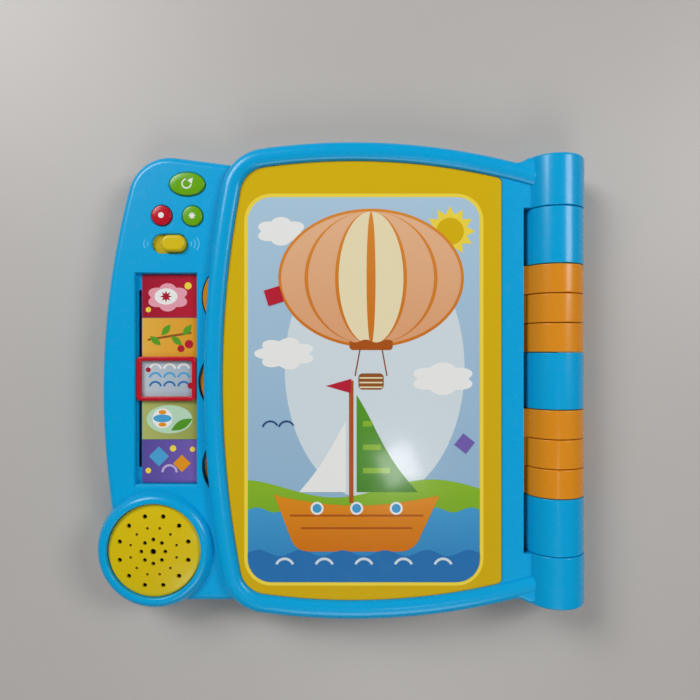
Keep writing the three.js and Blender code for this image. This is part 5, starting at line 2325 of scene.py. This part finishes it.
@dataclass
class Studio:
    """The pale floor, the soft lamps and the camera straight above."""

    camera_x: float = 6.3
    camera_y: float = 17.0
    camera_z: float = 359.2
    sensor: float = 36.0
    lens: float = 30.857
    floor_size: float = 3000.0
    floor_top: float = -0.05
    floor_depth: float = 20.0
    floor_tones: tuple[Colour, Colour] = ((0.50, 0.475, 0.45), (0.56, 0.535, 0.51))
    sky_colour: Colour = (0.95, 0.97, 1.0)
    sky_strength: float = 0.07
    lamps: tuple[SoftBox, ...] = (
        SoftBox("window_light", -900.0, 900.0, 1100.0, 700.0, 16.0),
        SoftBox("door_light", 1000.0, 400.0, 1000.0, 500.0, 7.5),
        SoftBox("room_light", 100.0, -1100.0, 1100.0, 700.0, 5.0),
        SoftBox("ceiling_light", 150.0, -330.0, 1500.0, 110.0, 0.4),
    )

    def _lamp(self, box: SoftBox) -> bpy.types.Object:
        """One lamp."""
        data = bpy.data.lights.new(box.name, "AREA")
        data.shape = "SQUARE"
        data.size = box.size * METRES
        data.energy = box.watts
        lamp = bpy.data.objects.new(box.name, data)
        x, y, z = box.x * METRES, box.y * METRES, box.z * METRES
        lamp.location = (x, y, z)
        lamp.rotation_euler = (math.atan2(math.hypot(x, y), z), 0.0, math.atan2(-y, -x) - math.pi / 2)
        bpy.context.scene.collection.objects.link(lamp)
        return lamp

    def _floor(self) -> bpy.types.Object:
        """The floor."""
        half = self.floor_size / 2
        corner = (-half, -half, -self.floor_depth)
        floor = Solid.box("studio_floor", corner, (half, half, self.floor_top))
        graph = Graph("studio_floor")
        cloud = graph.noise(180.0, 4.0, 0.55)
        tone = graph.mix(cloud, *self.floor_tones)
        material = graph.finish(Base_Color=tone, Roughness=cloud * 0.06 + 0.42)
        floor.object.data.materials.append(material)
        return floor.object

    def _camera(self) -> None:
        """The camera."""
        data = bpy.data.cameras.new("camera")
        data.sensor_width = self.sensor
        data.lens = self.lens
        camera = bpy.data.objects.new("camera", data)
        camera.location = in_frame([(self.camera_x, self.camera_y, self.camera_z)])[0]
        bpy.context.scene.collection.objects.link(camera)
        bpy.context.scene.camera = camera

    def build(self) -> None:
        """Builds the studio."""
        self._floor()
        [self._lamp(box) for box in self.lamps]
        world = bpy.data.worlds.new("studio")
        bpy.context.scene.world = world
        world.use_nodes = True
        background = world.node_tree.nodes["Background"]
        background.inputs["Color"].default_value = (*self.sky_colour, 1.0)
        background.inputs["Strength"].default_value = self.sky_strength
        bpy.context.scene.view_settings.view_transform = "Standard"
        self._camera()


def build_base() -> None:
    """Builds the base and what is fixed to it."""
    UpperShell().build()
    LowerShell().build()
    BatteryDoor().build()
    for i, (x, y) in enumerate(SCREW_SPOTS, 1):
        Screw(f"shell_screw_{i}", x, y, SCREW_SEAT, 1.4, 2.8, 2.0, 5.8).build()
    for i, (x, y) in enumerate(FOOT_SPOTS, 1):
        Foot(i, x, y).build()
    Grille().build()
    ModeStrip().build()
    HingeRod().build()
    PageCard("bed", "bed_card", "base", STACK.bed, True, MINT, 2).build()


def build_controls() -> None:
    """Builds the pieces that are pressed or slid."""
    Selector().build()
    ButtonCaps().build()
    VolumeSlide().build()


def build_cover() -> None:
    """Builds the cover."""
    CoverShell().build()
    CoverArt().build()
    CoverLining().build()


def main() -> None:
    """Builds the scene."""
    logging.basicConfig(level=logging.INFO, format="%(name)s: %(message)s")
    build_base()
    build_controls()
    build_cover()
    for number, upper, lower in ((1, MINT, CREAM), (2, LILAC, MIST), (3, CREAM, PINK)):
        Leaf(number, upper, lower).build()
    InnerParts().dress(REPLACED)
    Studio().build()


if __name__ == "__main__":
    main()
